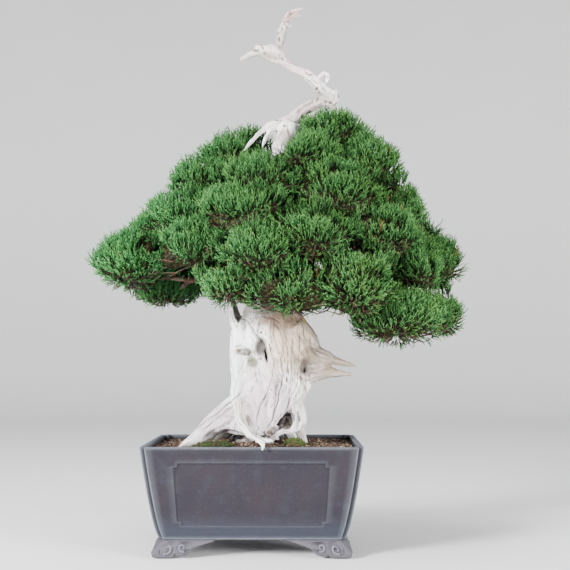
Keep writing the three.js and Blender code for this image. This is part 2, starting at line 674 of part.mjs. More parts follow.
let ground = potLoft(pot.wall + GAP, pot.baseZ + pot.floor + GAP, pot.rimZ + 5).intersect(soilBlock());
for (const [, x] of screens) ground = ground.subtract(screenRoom(x));
ground = largest(ground.subtract(woodRoom));
place('soil', ground, materials.soil);

place('deadwood', deadwoodSolid(0), materials.deadwood);
place('live_wood', largest(liveWoodSolid(0).subtract(deadwoodRoom)), materials.bark);

const groundRoom = ground.translate([0, 0, GAP]).add(woodRoom);
for (const cushion of cushions) {
  place(cushion.name, largest(cushionSolid(cushion).subtract(groundRoom)), materials.moss);
}
for (const pad of pads) place(pad.name, largest(padSolid(pad).subtract(woodRoom)), materials.foliage);

// The crown hangs out further to the right, so the middle of the whole is beside that of the pot
tree.position.set(-wholeMiddle.x, -wholeMiddle.y, 0);

export default tree;
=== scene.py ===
# Itoigawa juniper bonsai in a stoneware pot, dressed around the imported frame.
# Metres in the part's own frame. Settings marked mm count from the middle of the pot's underside.
import math

import bmesh
import bpy
import numpy as np
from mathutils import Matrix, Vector


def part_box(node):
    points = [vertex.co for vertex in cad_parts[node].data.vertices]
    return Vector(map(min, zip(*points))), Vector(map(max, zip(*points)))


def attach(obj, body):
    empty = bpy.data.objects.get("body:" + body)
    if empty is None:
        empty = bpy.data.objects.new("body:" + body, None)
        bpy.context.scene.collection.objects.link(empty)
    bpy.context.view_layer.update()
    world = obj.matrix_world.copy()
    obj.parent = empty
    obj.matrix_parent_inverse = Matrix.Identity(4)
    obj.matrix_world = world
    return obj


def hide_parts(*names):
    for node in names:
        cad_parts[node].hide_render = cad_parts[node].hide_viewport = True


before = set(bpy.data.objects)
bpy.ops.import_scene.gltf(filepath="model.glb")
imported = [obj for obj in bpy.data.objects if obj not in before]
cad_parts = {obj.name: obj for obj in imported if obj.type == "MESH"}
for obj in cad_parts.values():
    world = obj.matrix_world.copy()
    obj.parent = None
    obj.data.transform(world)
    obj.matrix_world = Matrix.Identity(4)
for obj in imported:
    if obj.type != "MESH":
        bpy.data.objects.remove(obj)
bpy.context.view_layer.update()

mm = 0.001
upward = np.array([0.0, 0.0, 1.0])
potLow, potHigh = (np.array(corner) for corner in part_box("pot"))
potMiddle = np.array([(potLow[0] + potHigh[0]) / 2, (potLow[1] + potHigh[1]) / 2, 0.0])

# The photo's camera: place (m), tilt and turn in degrees, lens and sensor (mm), and how far it is raised
cameraSet = {
    "place": (0.02526, -1.59875, 0.30499), "tiltUp": 2.085, "turnLeft": 0.391,
    "lens": 60.76, "sensor": 36, "raise": 0.07,
}


def addObject(name, data):
    made = bpy.data.objects.new(name, data)
    bpy.context.collection.objects.link(made)
    return made


def setCamera():
    camera = bpy.data.cameras.new("photoCamera")
    camera.lens = cameraSet["lens"]
    camera.sensor_width = cameraSet["sensor"]
    camera.shift_y = cameraSet["raise"]
    holder = addObject("photoCamera", camera)
    holder.location = cameraSet["place"]
    holder.rotation_euler = (math.radians(90 + cameraSet["tiltUp"]), 0, math.radians(cameraSet["turnLeft"]))
    bpy.context.scene.camera = holder


# Numbers and small mesh helpers

def fromPot(rows):  # mm about the pot's middle to metres in the frame, radii included
    rows = np.array(rows, dtype=float) * mm
    rows[:, :2] += potMiddle[:2]
    return rows


def softNoise(points, seed):  # smooth noise from -1 to 1, one blob to a unit
    cell = np.floor(points).astype(np.int64)
    part = points - cell
    part = part * part * (3 - 2 * part)
    total = np.zeros(len(points))
    for corner in range(8):
        step = np.array([corner & 1, corner >> 1 & 1, corner >> 2 & 1])
        key = (cell + step) @ np.array([73856093, 19349663, 83492791]) + seed * 7919
        key = (key ^ (key >> 13)) * 1274126177
        value = ((key ^ (key >> 16)) & 0xFFFF) / 0xFFFF
        total += np.prod(np.where(step, part, 1 - part), axis=1) * value
    return 2 * total - 1


def layeredNoise(points, seed, layers):
    total = np.zeros(len(points))
    for layer in range(layers):
        total += softNoise(points * 2 ** layer, seed + layer) / 2 ** layer
    return total


def smoothStep(low, high, value):
    part = np.clip((value - low) / (high - low), 0, 1)
    return part * part * (3 - 2 * part)


def bell(away, width):  # 1 in the middle, falling softly to 0 on both sides
    return np.exp(-(away / width) ** 2)


def between(low, high, share):
    return low + (high - low) * share


def unit(vectors):
    return vectors / np.maximum(np.linalg.norm(vectors, axis=-1, keepdims=True), 1e-12)


def squareTo(vectors):  # two unit vectors square to each of these and to each other
    helper = np.where(np.abs(vectors[..., 2:3]) < 0.9, upward, np.array([1.0, 0.0, 0.0]))
    across = unit(np.cross(vectors, helper))
    return across, np.cross(vectors, across)


def meshFrom(name, points, faces, smooth=True):
    points = np.asarray(points, dtype=np.float32)
    faces = np.asarray(faces, dtype=np.int32)
    mesh = bpy.data.meshes.new(name)
    mesh.vertices.add(len(points))
    mesh.vertices.foreach_set("co", points.ravel())
    mesh.loops.add(faces.size)
    mesh.loops.foreach_set("vertex_index", faces.ravel())
    mesh.polygons.add(len(faces))
    mesh.polygons.foreach_set("loop_start", np.arange(0, faces.size, faces.shape[1], dtype=np.int32))
    mesh.polygons.foreach_set("use_smooth", np.full(len(faces), smooth))
    mesh.update(calc_edges=True)
    return mesh


def addPiece(name, mesh, material, nodes=()):
    piece = addObject(name, mesh)
    mesh.materials.clear()
    mesh.materials.append(material)
    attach(piece, "root")
    if nodes:
        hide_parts(*nodes)
    return piece


def setVectors(mesh, name, rows):  # one vector for each vertex, read by an Attribute node
    layer = mesh.attributes.new(name, "FLOAT_VECTOR", "POINT")
    layer.data.foreach_set("vector", np.asarray(rows, dtype=np.float32).ravel())


def readRows(items, field, width, kind=np.float32):  # one row of numbers for each vertex, edge or corner
    found = np.empty(len(items) * width, dtype=kind)
    items.foreach_get(field, found)
    return found.reshape(-1, width)


def vertexPlaces(mesh):
    return readRows(mesh.vertices, "co", 3).astype(float)


def vertexNormals(mesh):
    return readRows(mesh.vertex_normals, "vector", 3).astype(float)


def edgeEnds(mesh):
    return readRows(mesh.edges, "vertices", 2, np.int32)


def moveVertices(mesh, points):
    mesh.vertices.foreach_set("co", points.astype(np.float32).ravel())
    mesh.update()


def spread(values, edges, rounds, share=0.6, back=0.0):  # evens values out over the surface
    count = np.maximum(np.bincount(edges.ravel(), minlength=len(values)), 1)
    flat = values.ndim == 1
    rows = values[:, None] if flat else values
    for turn in range(rounds):
        step = share if turn % 2 == 0 or back == 0 else back
        total = np.stack([
            np.bincount(edges[:, 0], column[edges[:, 1]], len(rows))
            + np.bincount(edges[:, 1], column[edges[:, 0]], len(rows))
            for column in rows.T
        ], axis=1)
        rows = rows + step * (total / count[:, None] - rows)
    return rows[:, 0] if flat else rows


def ringFaces(rings, count):  # four-cornered faces between rings of points, each ring a closed loop
    faces = []
    for level in range(rings - 1):
        for i in range(count):
            a, b = level * count + i, level * count + (i + 1) % count
            faces.append((a, b, b + count, a + count))
    return faces


def cappedFaces(rings, count):  # the same, with a face over each end
    last = (rings - 1) * count
    return ringFaces(rings, count) + [tuple(reversed(range(count))), tuple(range(last, last + count))]


def halved(quads):  # two triangles for each four-cornered face
    return [half for a, b, c, d in quads for half in ((a, b, c), (a, c, d))]


def sweptTube(path, radii, sides):  # a closed tube along a path, with a point at its far end
    path = np.asarray(path, dtype=float)
    along = unit(np.gradient(path, axis=0))
    across = squareTo(along[0])[0]
    turns = 2 * math.pi * np.arange(sides) / sides
    rings = []
    for place, ahead, radius in zip(path, along, radii):
        across = unit(across - ahead * (across @ ahead))
        beside = np.cross(ahead, across)
        rings.append(place + radius * (np.outer(np.cos(turns), across) + np.outer(np.sin(turns), beside)))
    points = np.vstack(rings + [path[:1], path[-1:] + along[-1:] * radii[-1]])
    faces = halved(ringFaces(len(path), sides))
    last = (len(path) - 1) * sides
    for side in range(sides):
        after = (side + 1) % sides
        faces += [(len(points) - 2, after, side), (len(points) - 1, last + side, last + after)]
    return points, np.array(faces)


def gathered(parts):  # several (points, faces) as one
    points, faces, count = [], [], 0
    for partPoints, partFaces in parts:
        points.append(partPoints)
        faces.append(np.asarray(partFaces) + count)
        count += len(partPoints)
    return np.vstack(points), np.vstack(faces)


def plainMesh(name, shape, **settings):  # a mesh made by one of the plain shapes in bmesh.ops
    mesh = bpy.data.meshes.new(name)
    work = bmesh.new()
    shape(work, **settings)
    work.to_mesh(mesh)
    work.free()
    return mesh


def lumpBall(rounds):  # the points and triangles of a round ball, for cores and cushions
    ball = plainMesh("ball", bmesh.ops.create_icosphere, subdivisions=rounds, radius=1)
    points = vertexPlaces(ball)
    faces = np.array([face.vertices[:] for face in ball.polygons])
    bpy.data.meshes.remove(ball)
    return points, faces


# A slim spike: three corners at its foot, then its tip
spikeFaces = np.array([(0, 2, 1), (0, 1, 3), (1, 2, 3), (2, 0, 3)])


def spikeFoot(centre, radius, across, beside):  # three corners about each centre
    return [centre + radius * (across * math.cos(t) + beside * math.sin(t))
            for t in (0, 2 * math.pi / 3, 4 * math.pi / 3)]


def copiedFaces(faces, size, count):  # the faces of one shape of so many points, for each of its copies
    return (faces[None] + size * np.arange(count)[:, None, None]).reshape(-1, 3)


# Shader node groups and material helpers

def newGroup(name, inputs, outputs):
    group = bpy.data.node_groups.new(name, "ShaderNodeTree")
    for label, kind, value in inputs:
        socket = group.interface.new_socket(label, in_out="INPUT", socket_type="NodeSocket" + kind)
        if value is not None:
            socket.default_value = value
    for label, kind in outputs:
        group.interface.new_socket(label, in_out="OUTPUT", socket_type="NodeSocket" + kind)
    return group, group.nodes.new("NodeGroupInput"), group.nodes.new("NodeGroupOutput")


def addNode(tree, kind, links=None, **settings):  # a link is another node's output or a plain value
    node = tree.nodes.new("ShaderNode" + kind)
    for name, value in settings.items():
        setattr(node, name, value)
    for socket, source in (links or {}).items():
        if hasattr(source, "links"):
            tree.links.new(source, node.inputs[socket])
        else:
            node.inputs[socket].default_value = source
    return node


def maths(tree, operation, *values):
    return addNode(tree, "Math", dict(enumerate(values)), operation=operation).outputs[0]


def vectorMaths(tree, operation, *values):
    node = addNode(tree, "VectorMath", dict(enumerate(values)), operation=operation)
    return node.outputs["Value" if operation == "LENGTH" else "Vector"]


def mixColour(tree, amount, first, second, mode="MIX"):
    node = addNode(tree, "Mix", {0: amount, 6: first, 7: second}, data_type="RGBA", blend_type=mode)
    return node.outputs[2]


def colourRamp(tree, amount, stops):
    node = addNode(tree, "ValToRGB", {"Fac": amount})
    ramp = node.color_ramp
    while len(ramp.elements) < len(stops):
        ramp.elements.new(0.5)
    for element, (place, colour) in zip(ramp.elements, stops):
        element.position = place
        element.color = (*colour, 1)
    return node.outputs["Color"]


def maskRamp(tree, amount, low, high):  # 0 at the first value, 1 at the second, whichever is larger
    span = {"Value": amount, "From Min": low, "From Max": high}
    return addNode(tree, "MapRange", span, interpolation_type="SMOOTHSTEP").outputs["Result"]


# Mixes a colour in as amount goes from start to end, up to the share called most
def tinted(tree, body, amount, start, end, colour, most=1, mode="MIX"):
    mask = maskRamp(tree, amount, start, end)
    if most != 1:
        mask = maths(tree, "MULTIPLY", mask, most)
    return mixColour(tree, mask, body, (*colour, 1), mode)


def noiseNode(tree, place, scale, detail, roughness=0.5):
    return addNode(tree, "TexNoise", {
        "Vector": place, "Scale": scale, "Detail": detail, "Roughness": roughness,
    }).outputs["Fac"]


def axesOf(tree, vector):
    node = addNode(tree, "SeparateXYZ", {0: vector})
    return [node.outputs[axis] for axis in "XYZ"]


def storedVector(tree, name):  # what setVectors stored on the mesh
    return addNode(tree, "Attribute", attribute_name=name).outputs["Vector"]


def newMaterial(name, roughness):
    material = bpy.data.materials.new(name)
    material.use_nodes = True
    tree = material.node_tree
    shader = tree.nodes["Principled BSDF"]
    shader.inputs["Roughness"].default_value = roughness
    return material, tree, shader, addNode(tree, "TexCoord").outputs["Object"]


def finishMaterial(tree, shader, colour, height=None, strength=0, distance=0):
    tree.links.new(colour, shader.inputs["Base Color"])
    if height:
        bump = addNode(tree, "Bump", {"Height": height, "Strength": strength, "Distance": distance})
        tree.links.new(bump.outputs["Normal"], shader.inputs["Normal"])


def mottleGroup():  # blotches with a grain of fine specks over them
    group, given, out = newGroup(
        "mottle",
        [("Place", "Vector", None), ("Blotch", "Float", 20.0), ("Speck", "Float", 600.0),
         ("Seed", "Float", 0.0)],
        [("Blotches", "Float"), ("Specks", "Float")],
    )
    shifted = vectorMaths(group, "ADD", given.outputs["Place"], given.outputs["Seed"])
    for scale, label, detail in (("Blotch", "Blotches", 4), ("Speck", "Specks", 2)):
        noise = noiseNode(group, shifted, given.outputs[scale], detail, 0.6)
        group.links.new(noise, out.inputs[label])
    return group


def patchGroup():  # a soft round patch about a point
    group, given, out = newGroup(
        "patch",
        [("Place", "Vector", None), ("Middle", "Vector", None), ("Half", "Vector", None),
         ("Ragged", "Float", 0.4)],
        [("Mask", "Float")],
    )
    place, middle, half, wander = (given.outputs[label] for label in ("Place", "Middle", "Half", "Ragged"))
    scaled = vectorMaths(group, "DIVIDE", vectorMaths(group, "SUBTRACT", place, middle), half)
    noise = maths(group, "SUBTRACT", noiseNode(group, place, 90.0, 3.0), 0.5)
    ragged = maths(group, "MULTIPLY_ADD", noise, wander, vectorMaths(group, "LENGTH", scaled))
    group.links.new(maskRamp(group, ragged, 1.25, 0.55), out.inputs["Mask"])
    return group


mottle = mottleGroup()
patch = patchGroup()


def mottled(tree, place, blotch, speck, seed=0.0):
    node = addNode(tree, "Group", {
        "Place": place, "Blotch": blotch, "Speck": speck, "Seed": seed,
    }, node_tree=mottle)
    return node.outputs["Blotches"], node.outputs["Specks"]


# Pot: a flared box with a step cut out of each corner, a sunk panel on each wall and scroll feet (mm)
potSet = {
    "rim": (172.3, 129.2), "base": (143.5, 105.3), "baseZ": 28, "rimZ": 172, "swell": 0.65, "wall": 8,
    "floor": 10, "notch": 8, "edgeRound": 3.0, "innerRound": 1.4, "lipRound": 1.8, "plinth": 0.9,
    "panelHalf": ((114, 120), (80, 86)), "panelLow": 50, "panelHigh": 147, "panelStep": 6.5,
    "sunk": 1.3, "bead": 0.5, "beadWidth": 2.2, "beadPlace": 0.45, "beadShare": 0.4, "underInset": 1.4,
    "plinthRound": 0.4, "plinthHeight": 3, "holeX": 70, "holeRadius": 11, "holeSides": 40, "drill": 50,
    "crease": 42,
    # feet
    "footLength": (96, 78), "footHeight": 29, "footThickness": 14, "footOverhang": 8, "footRound": 4.6,
    "footScroll": 2.7, "footScrollDepth": 0.1, "footWindIn": 0.82, "footThinning": 0.35,
    "footSteps": 22, "footFade": (0.42, 0.10), "footSteady": 0.35,
    # lighter edges, partly rubbed and partly painted highlight, and painted shade in the grooves: how strong,
    # and how wide (mm, or in bead widths on the panel's frame)
    "ribWearAndHighlight": (0.8, 2.6), "lipWearAndHighlight": (0.55, 2.5), "plinthWearAndHighlight": (0.6, 1.2), "beadWearAndHighlight": (0.13, 0.4),
    "cornerShade": (0.8, 2.6), "frameShade": (0.4, 0.35), "rollWearAndHighlight": 0.7, "rollShade": 0.9,
}
# How far the feet swell out at each height (mm)
footSwell = {"z": (0, 3, 8, 14, 21, 29), "out": (-1.5, 2.0, 2.6, 0.2, -4.2, -7.5)}
# The rolls on a foot: place along it as a share, height and size (mm), start in degrees and turns
footRolls = [(0.225, 15.2, 7.3, -120, 1.25), (0.47, 17.5, 6.3, -60, -1.2)]


def potHalf(z):  # half the width and half the depth at a height
    height = np.clip((z - potSet["baseZ"]) / (potSet["rimZ"] - potSet["baseZ"]), 0, 1) ** potSet["swell"]
    return [between(low, high, height) for low, high in zip(potSet["base"], potSet["rim"])]


def panelHalf(z, side):
    low, high = potSet["panelHalf"][side]
    part = (z - potSet["panelLow"]) / (potSet["panelHigh"] - potSet["panelLow"])
    return between(low, high, np.clip(part, 0, 1))


def crowded(middle):  # places close together on both sides of a panel's edge
    reach = potSet["beadWidth"]
    return [middle + reach * part for part in (-1, -0.5, -0.15, 0.2, 0.6)]


def wallPlaces(z, side, end):  # from one end of a wall to the other
    edge = panelHalf(z, side)
    inner = edge - potSet["panelStep"]
    half = sorted(crowded(inner) + crowded(edge))
    outside = [half[-1] + (end - half[-1]) * part for part in (0.35, 0.7, 1)]
    centre = [half[0] * part for part in (0, 0.18, 0.36, 0.54, 0.72, 0.87)]
    right = centre[1:] + half + outside
    return [-u for u in reversed(right)] + [0] + right


def panelAway(u, z, side):  # how far outside the panel's stepped edge a place on the wall is
    step = potSet["panelStep"]
    middle = (potSet["panelLow"] + potSet["panelHigh"]) / 2
    fromEdge = np.abs(u) - panelHalf(z, side)
    fromTop = np.abs(z - middle) - (potSet["panelHigh"] - middle)
    stepped = np.minimum(np.maximum(fromEdge + step, fromTop), np.maximum(fromEdge, fromTop + step))
    return np.maximum(np.maximum(fromEdge, fromTop), stepped)


def panelRelief(u, z, side):  # how far the wall stands out or in at a place across it and up it
    away = panelAway(u, z, side)
    width = potSet["beadWidth"]
    sunk = -potSet["sunk"] * (1 - smoothStep(-0.5 * width, 0.1 * width, away))
    return sunk + potSet["bead"] * bell(away - potSet["beadPlace"] * width, potSet["beadShare"] * width)


def cornerArc(centre, radius, start, end, steps=4):  # angles in degrees
    angles = np.radians(np.linspace(start, end, steps + 1))
    return [(centre[0] + radius * math.cos(a), centre[1] + radius * math.sin(a)) for a in angles]


def potRing(z, inset=0.0, relief=True):  # one level of the wall, as points about the pot's middle
    halfX, halfY = (half - inset for half in potHalf(z))
    notch, outer, inner = potSet["notch"], potSet["edgeRound"], potSet["innerRound"]
    ring = []
    for quarter in range(4):
        side = quarter % 2
        wide, deep = (halfX, halfY) if side == 0 else (halfY, halfX)
        end = wide - notch - outer
        points = []
        for u in wallPlaces(z, side, end):
            out = panelRelief(u, z, side) if relief else 0
            points.append((u, -deep - out))
        points += cornerArc((end, -deep + outer), outer, -90, 0)[1:]
        points += cornerArc((wide - notch + inner, -deep + notch - inner), inner, 180, 90)
        points += cornerArc((wide - outer, -deep + notch + outer), outer, -90, 0)[:-1]
        turn = math.radians(90 * quarter)
        for x, y in points:
            ring.append((x * math.cos(turn) - y * math.sin(turn), x * math.sin(turn) + y * math.cos(turn), z))
    return ring


def potLevels():  # heights of the wall's rings, close together at the panel's edges
    low, high = potSet["baseZ"], potSet["rimZ"]
    edges = [potSet["panelLow"], potSet["panelHigh"]]
    steps = [edges[0] + potSet["panelStep"], edges[1] - potSet["panelStep"]]
    crowdedLevels = [z for edge in edges + steps for z in crowded(edge)]
    even = [low + 0.6, low + 2.4, low + 3.4, low + 8, low + 14]
    even += list(np.linspace(steps[0] + 9, steps[1] - 9, 7))
    even += [high - 18, high - 11, high - 5]
    return sorted(crowdedLevels + even)


def potShell():  # from the underside up the outer wall, over the rim and down to the floor inside
    wall, lip, high = potSet["wall"], potSet["lipRound"], potSet["rimZ"]
    base, plinth, rounding = potSet["baseZ"], potSet["plinth"], potSet["plinthRound"]
    rings = [potRing(base, potSet["underInset"], False), potRing(base + rounding, rounding - plinth, False)]
    for z in potLevels():
        rings.append(potRing(z, -plinth if z < base + potSet["plinthHeight"] else 0))
    # The rounded rim: up its outer side, then down its inner side
    for angles, middle, sign in (((0, 30, 60, 90), lip, -1), ((90, 60, 30, 0), wall - lip, 1)):
        for turn in map(math.radians, angles):
            inset = middle + sign * lip * math.cos(turn)
            rings.append(potRing(high - lip + lip * math.sin(turn), inset, False))
    for z in np.linspace(high - 6, base + potSet["floor"], 8):
        rings.append(potRing(z, wall, False))
    return np.vstack(rings), cappedFaces(len(rings), len(rings[0]))


def bezier(start, first, second, end, steps=8):  # places on a curve after its start
    t = np.linspace(0, 1, steps + 1)[1:, None]
    start, first, second, end = (np.array(p, dtype=float) for p in (start, first, second, end))
    return (1 - t) ** 3 * start + 3 * (1 - t) ** 2 * t * first + 3 * (1 - t) * t ** 2 * second + t ** 3 * end


def footOutline(length):  # (along the wall, up), from the top of the corner lobe round to the wedge's end
    spans = [
        [(0.09, 1), (0.02, 0.74), (-0.035, 0.42), (0.0, 0.22)],
        [(0.0, 0.22), (0.01, 0.05), (0.04, 0), (0.09, 0)],
        [(0.09, 0), (0.14, 0), (0.2, 0), (0.24, 0)],
        [(0.24, 0), (0.32, 0), (0.345, 0.12), (0.35, 0.23)],
        [(0.35, 0.23), (0.39, 0.08), (0.52, 0.06), (0.57, 0.3)],
        [(0.57, 0.3), (0.62, 0.6), (0.8, 0.62), (1, 1)],
    ]
    points = [np.array(spans[0][0], dtype=float)[None]]
    for span in spans:
        points.append(bezier(*span, steps=4 if span[0][1] == 0 and span[3][1] == 0 else 8))
    outline = np.vstack(points)
    extra = np.linspace(0.9, 0.14, 10)
    top = np.stack([extra, np.ones(10)], axis=1)
    return np.vstack([outline, top]) * (length, potSet["footHeight"])


def footLeg(length):  # rings of (u, w, z) about the corner: u along the wall, w into the pot from the front
    outline = footOutline(length)
    ahead = np.roll(outline, -1, axis=0) - np.roll(outline, 1, axis=0)
    inward = unit(np.stack([-ahead[:, 1], ahead[:, 0]], axis=1))
    rounding = [(0.8, 0.0), (0.36, 0.13), (0.1, 0.5), (0.0, 1.0)]
    levels = [(inset, potSet["footRound"] * depth) for inset, depth in rounding]
    levels += [(inset, potSet["footThickness"] - depth) for inset, depth in reversed(levels)]
    rings = []
    for inset, depth in levels:
        shape = outline + inward * potSet["footRound"] * inset
        rings.append(np.column_stack([shape[:, 0], np.full(len(shape), depth), shape[:, 1]]))
    return np.vstack(rings), cappedFaces(len(rings), len(outline))


def footScroll(middle, size, start, turns):  # a raised roll that winds in on a lobe's front face
    t = np.linspace(0, 1, potSet["footSteps"])
    angle = start + 2 * math.pi * turns * t
    reach = size * (1 - potSet["footWindIn"] * t)
    along, up = middle[0] + reach * np.cos(angle), middle[1] + reach * np.sin(angle)
    path = np.column_stack([along, np.full(len(t), potSet["footScrollDepth"]), up])
    return sweptTube(path, potSet["footScroll"] * (1 - potSet["footThinning"] * t), 6)


def potFoot(wallSide):  # one leg with its scrolls, for the long walls (0) or the short ones (1)
    length = potSet["footLength"][wallSide]
    parts = [footLeg(length)]
    for along, height, size, start, turns in footRolls:
        parts.append(footScroll((along * length, height), size, math.radians(start), turns))
    return parts


# How far a foot swells out, as two shares: along the wall, only near the corner, and away from the wall
def swellShares(along, wallSide):
    fade = smoothStep(*potSet["footFade"], along / potSet["footLength"][wallSide])
    return fade, between(potSet["footSteady"], 1, fade)


def potMesh():
    parts = [potShell()]
    outer = [half + potSet["footOverhang"] for half in potSet["base"]]
    for wallSide in (0, 1):
        for points, faces in potFoot(wallSide):
            swell = np.interp(points[:, 2], footSwell["z"], footSwell["out"])
            fade, steady = swellShares(points[:, 0], wallSide)
            points = points - np.column_stack([swell * fade, swell * steady, 0 * swell])
            for alongSign in (-1, 1):
                for outSign in (-1, 1):
                    along = alongSign * (outer[wallSide] - points[:, 0])
                    out = outSign * (outer[1 - wallSide] - points[:, 1])
                    pair = (along, out) if wallSide == 0 else (out, along)
                    parts.append((np.column_stack([*pair, points[:, 2]]), faces))
    allPoints, allFaces, count = [], [], 0
    for points, faces in parts:
        allPoints.append(points)
        allFaces += [tuple(i + count for i in face) for face in faces]
        count += len(points)
    mesh = bpy.data.meshes.new("pot_body")
    mesh.from_pydata((np.vstack(allPoints) * mm + potMiddle).tolist(), [], allFaces)
    work = bmesh.new()
    work.from_mesh(mesh)
    bmesh.ops.recalc_face_normals(work, faces=work.faces)
    work.to_mesh(mesh)
    work.free()
    return mesh


def stonewareMaterial():
    material, tree, shader, place = newMaterial("stoneware", 0.6)
    blotches, specks = mottled(tree, place, 16.0, 900.0, 3.0)
    clouds, flecks = mottled(tree, place, 55.0, 340.0, 11.0)
    height = axesOf(tree, place)[2]
    wavy = maths(tree, "MULTIPLY_ADD", clouds, 0.03, height)
    body = colourRamp(tree, blotches, [
        (0.34, (0.0115, 0.0100, 0.0160)), (0.5, (0.0140, 0.0115, 0.0175)), (0.66, (0.0175, 0.0125, 0.0165)),
    ])
    for row in (
        (clouds, 0.5, 0.72, (0.017, 0.018, 0.026)),  # bluish clouds
        (wavy, 0.088, 0.052, (0.029, 0.037, 0.054), 0.5),  # paler low down
        (height, 0.034, 0.024, (0.076, 0.070, 0.084)),  # feet paler: painted light, as the feet catch more light
        (specks, 0.62, 0.74, (0.052, 0.046, 0.058)),  # light specks
        (flecks, 0.36, 0.26, (0.016, 0.012, 0.016)),  # dark flecks
    ):
        body = tinted(tree, body, *row)
    wearAndPaintedLight, grooveShade, _ = axesOf(tree, storedVector(tree, "wearAndPaintedLight"))
    patchy = addNode(tree, "MapRange", {"Value": clouds, "From Min": 0.3, "To Min": 0.55}).outputs["Result"]
    # painted highlight, partly rubbed: pale bluish edges on the ribs, lip, plinth, panel frame and roll tops
    body = mixColour(tree, maths(tree, "MULTIPLY", wearAndPaintedLight, patchy), body, (0.20, 0.225, 0.26, 1))
    # painted shade: dark in the inner corners, inside the panel's frame and beside the rolls
    body = mixColour(tree, grooveShade, body, (0.014, 0.012, 0.016, 1))
    rough = addNode(tree, "MapRange", {"Value": clouds, "To Min": 0.5, "To Max": 0.78})
    tree.links.new(rough.outputs["Result"], shader.inputs["Roughness"])
    shader.inputs["Specular IOR Level"].default_value = 0.22
    finishMaterial(tree, shader, body, specks, 0.35, 0.0008)
    return material


def potWearAndPaintedLight(points):  # edges lighter, partly rubbed and partly painted highlight (first), and painted shade in the grooves (second), for each point
    x, y, z = np.abs((points - potMiddle) / mm).T
    halfX, halfY = potHalf(z)
    notch = potSet["notch"]
    ribs = np.minimum(np.hypot(x - halfX + notch, y - halfY), np.hypot(x - halfX, y - halfY + notch))
    inner = np.hypot(x - halfX + notch, y - halfY + notch)
    body = z > potSet["baseZ"] + 1
    outside = (np.maximum(x - halfX, y - halfY) > -notch - 1) & body

    def band(kind, away):
        strength, width = potSet[kind]
        return strength * bell(away, width)

    edge = band("ribWearAndHighlight", ribs) * body
    edge = np.maximum(edge, band("lipWearAndHighlight", z - potSet["rimZ"]))
    edge = np.maximum(edge, band("plinthWearAndHighlight", z - potSet["baseZ"] - 2))
    groove = band("cornerShade", inner) * outside
    onLong = y - halfY > x - halfX
    away = np.where(onLong, panelAway(x, z, 0), panelAway(y, z, 1)) / potSet["beadWidth"]
    wall = (np.maximum(x - halfX, y - halfY) > -0.5 * potSet["wall"]) & body
    edge = np.maximum(edge, band("beadWearAndHighlight", away - potSet["beadPlace"]) * wall)
    groove = np.maximum(groove, band("frameShade", away + 0.4) * wall)
    for side, (along, out) in enumerate(((x, y), (y, x))):  # painted shade beside the rolls on the feet, rubbed and painted highlight on their tops
        swell = np.interp(z, footSwell["z"], footSwell["out"])
        u = potSet["base"][side] + potSet["footOverhang"] - along + swell
        depth = potSet["base"][1 - side] + potSet["footOverhang"] - out + swell * swellShares(u, side)[1]
        for share, height, size, _, _ in footRolls:
            reach = np.hypot(u - share * potSet["footLength"][side], z - height)
            near = (reach < size + potSet["footScroll"] + 1) & (z < potSet["baseZ"])
            near &= np.abs(depth) < potSet["footScroll"] + 0.8
            rollShadeMask = smoothStep(-1.5, -0.4, depth) * smoothStep(0.9, 0.2, depth)
            edge = np.where(near, potSet["rollWearAndHighlight"] * smoothStep(-1.0, -2.2, depth), edge)
            groove = np.where(near, potSet["rollShade"] * rollShadeMask, groove)
    return np.column_stack([edge, groove, 0 * edge])


def buildPot():
    piece = addObject("pot_body", potMesh())
    cutters = []
    radius = potSet["holeRadius"] * mm
    for sign in (-1, 1):
        cutter = addObject("drill", plainMesh(
            "drill", bmesh.ops.create_cone, cap_ends=True, segments=potSet["holeSides"],
            radius1=radius, radius2=radius, depth=potSet["drill"] * mm,
        ))
        cutter.location = Vector(potMiddle) + Vector((sign * potSet["holeX"] * mm, 0, potSet["baseZ"] * mm))
        cutters.append(cutter)
        cut = piece.modifiers.new("hole", "BOOLEAN")
        cut.object = cutter
        cut.solver = "EXACT"
    finished = bpy.data.meshes.new_from_object(piece.evaluated_get(bpy.context.evaluated_depsgraph_get()))
    for gone in [piece] + cutters:
        bpy.data.objects.remove(gone)
    for face in finished.polygons:
        face.use_smooth = True
    finished.set_sharp_from_angle(angle=math.radians(potSet["crease"]))
    setVectors(finished, "wearAndPaintedLight", potWearAndPaintedLight(vertexPlaces(finished)))
    addPiece("pot_stoneware", finished, stonewareMaterial(), ["pot"])
    print("pot:", len(finished.polygons), "faces")


def buildScreens():
    material, tree, shader, place = newMaterial("screenPlastic", 0.55)
    blotches, specks = mottled(tree, place, 80.0, 1500.0)
    body = mixColour(tree, blotches, (0.012, 0.012, 0.013, 1), (0.03, 0.028, 0.026, 1))
    finishMaterial(tree, shader, body, specks, 0.2, 0.0003)
    for node in ("screen_left", "screen_right"):
        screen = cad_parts[node]
        for slot in screen.material_slots:
            slot.material = material


# Soil: a block that mounds towards the trunk, covered with angular granules (mm)
soilSet = {
    "edge": 163.2, "mound": 9, "moundWidth": 75, "moundX": 15, "cell": 4, "low": 38.7, "lump": 1.2,
    "lumpWidth": 9, "blockGap": 0.4, "lowGap": 0.6, "blockTint": 0.2,
    # granules
    "grainPitch": 4.6, "grainSize": (1.3, 2.9), "grainGap": 2.2, "grainJitter": 0.45,
    "grainLargeShare": 0.08, "grainLarge": 1.35, "grainSink": 0.35, "grainReach": (0.7, 1.2),
    "grainSkew": 0.3, "grainFlat": 0.75,
}


def soilHeight(x, y):
    away = ((x - soilSet["moundX"]) ** 2 + y ** 2) / (2 * soilSet["moundWidth"] ** 2)
    return soilSet["edge"] + soilSet["mound"] * np.exp(-away)


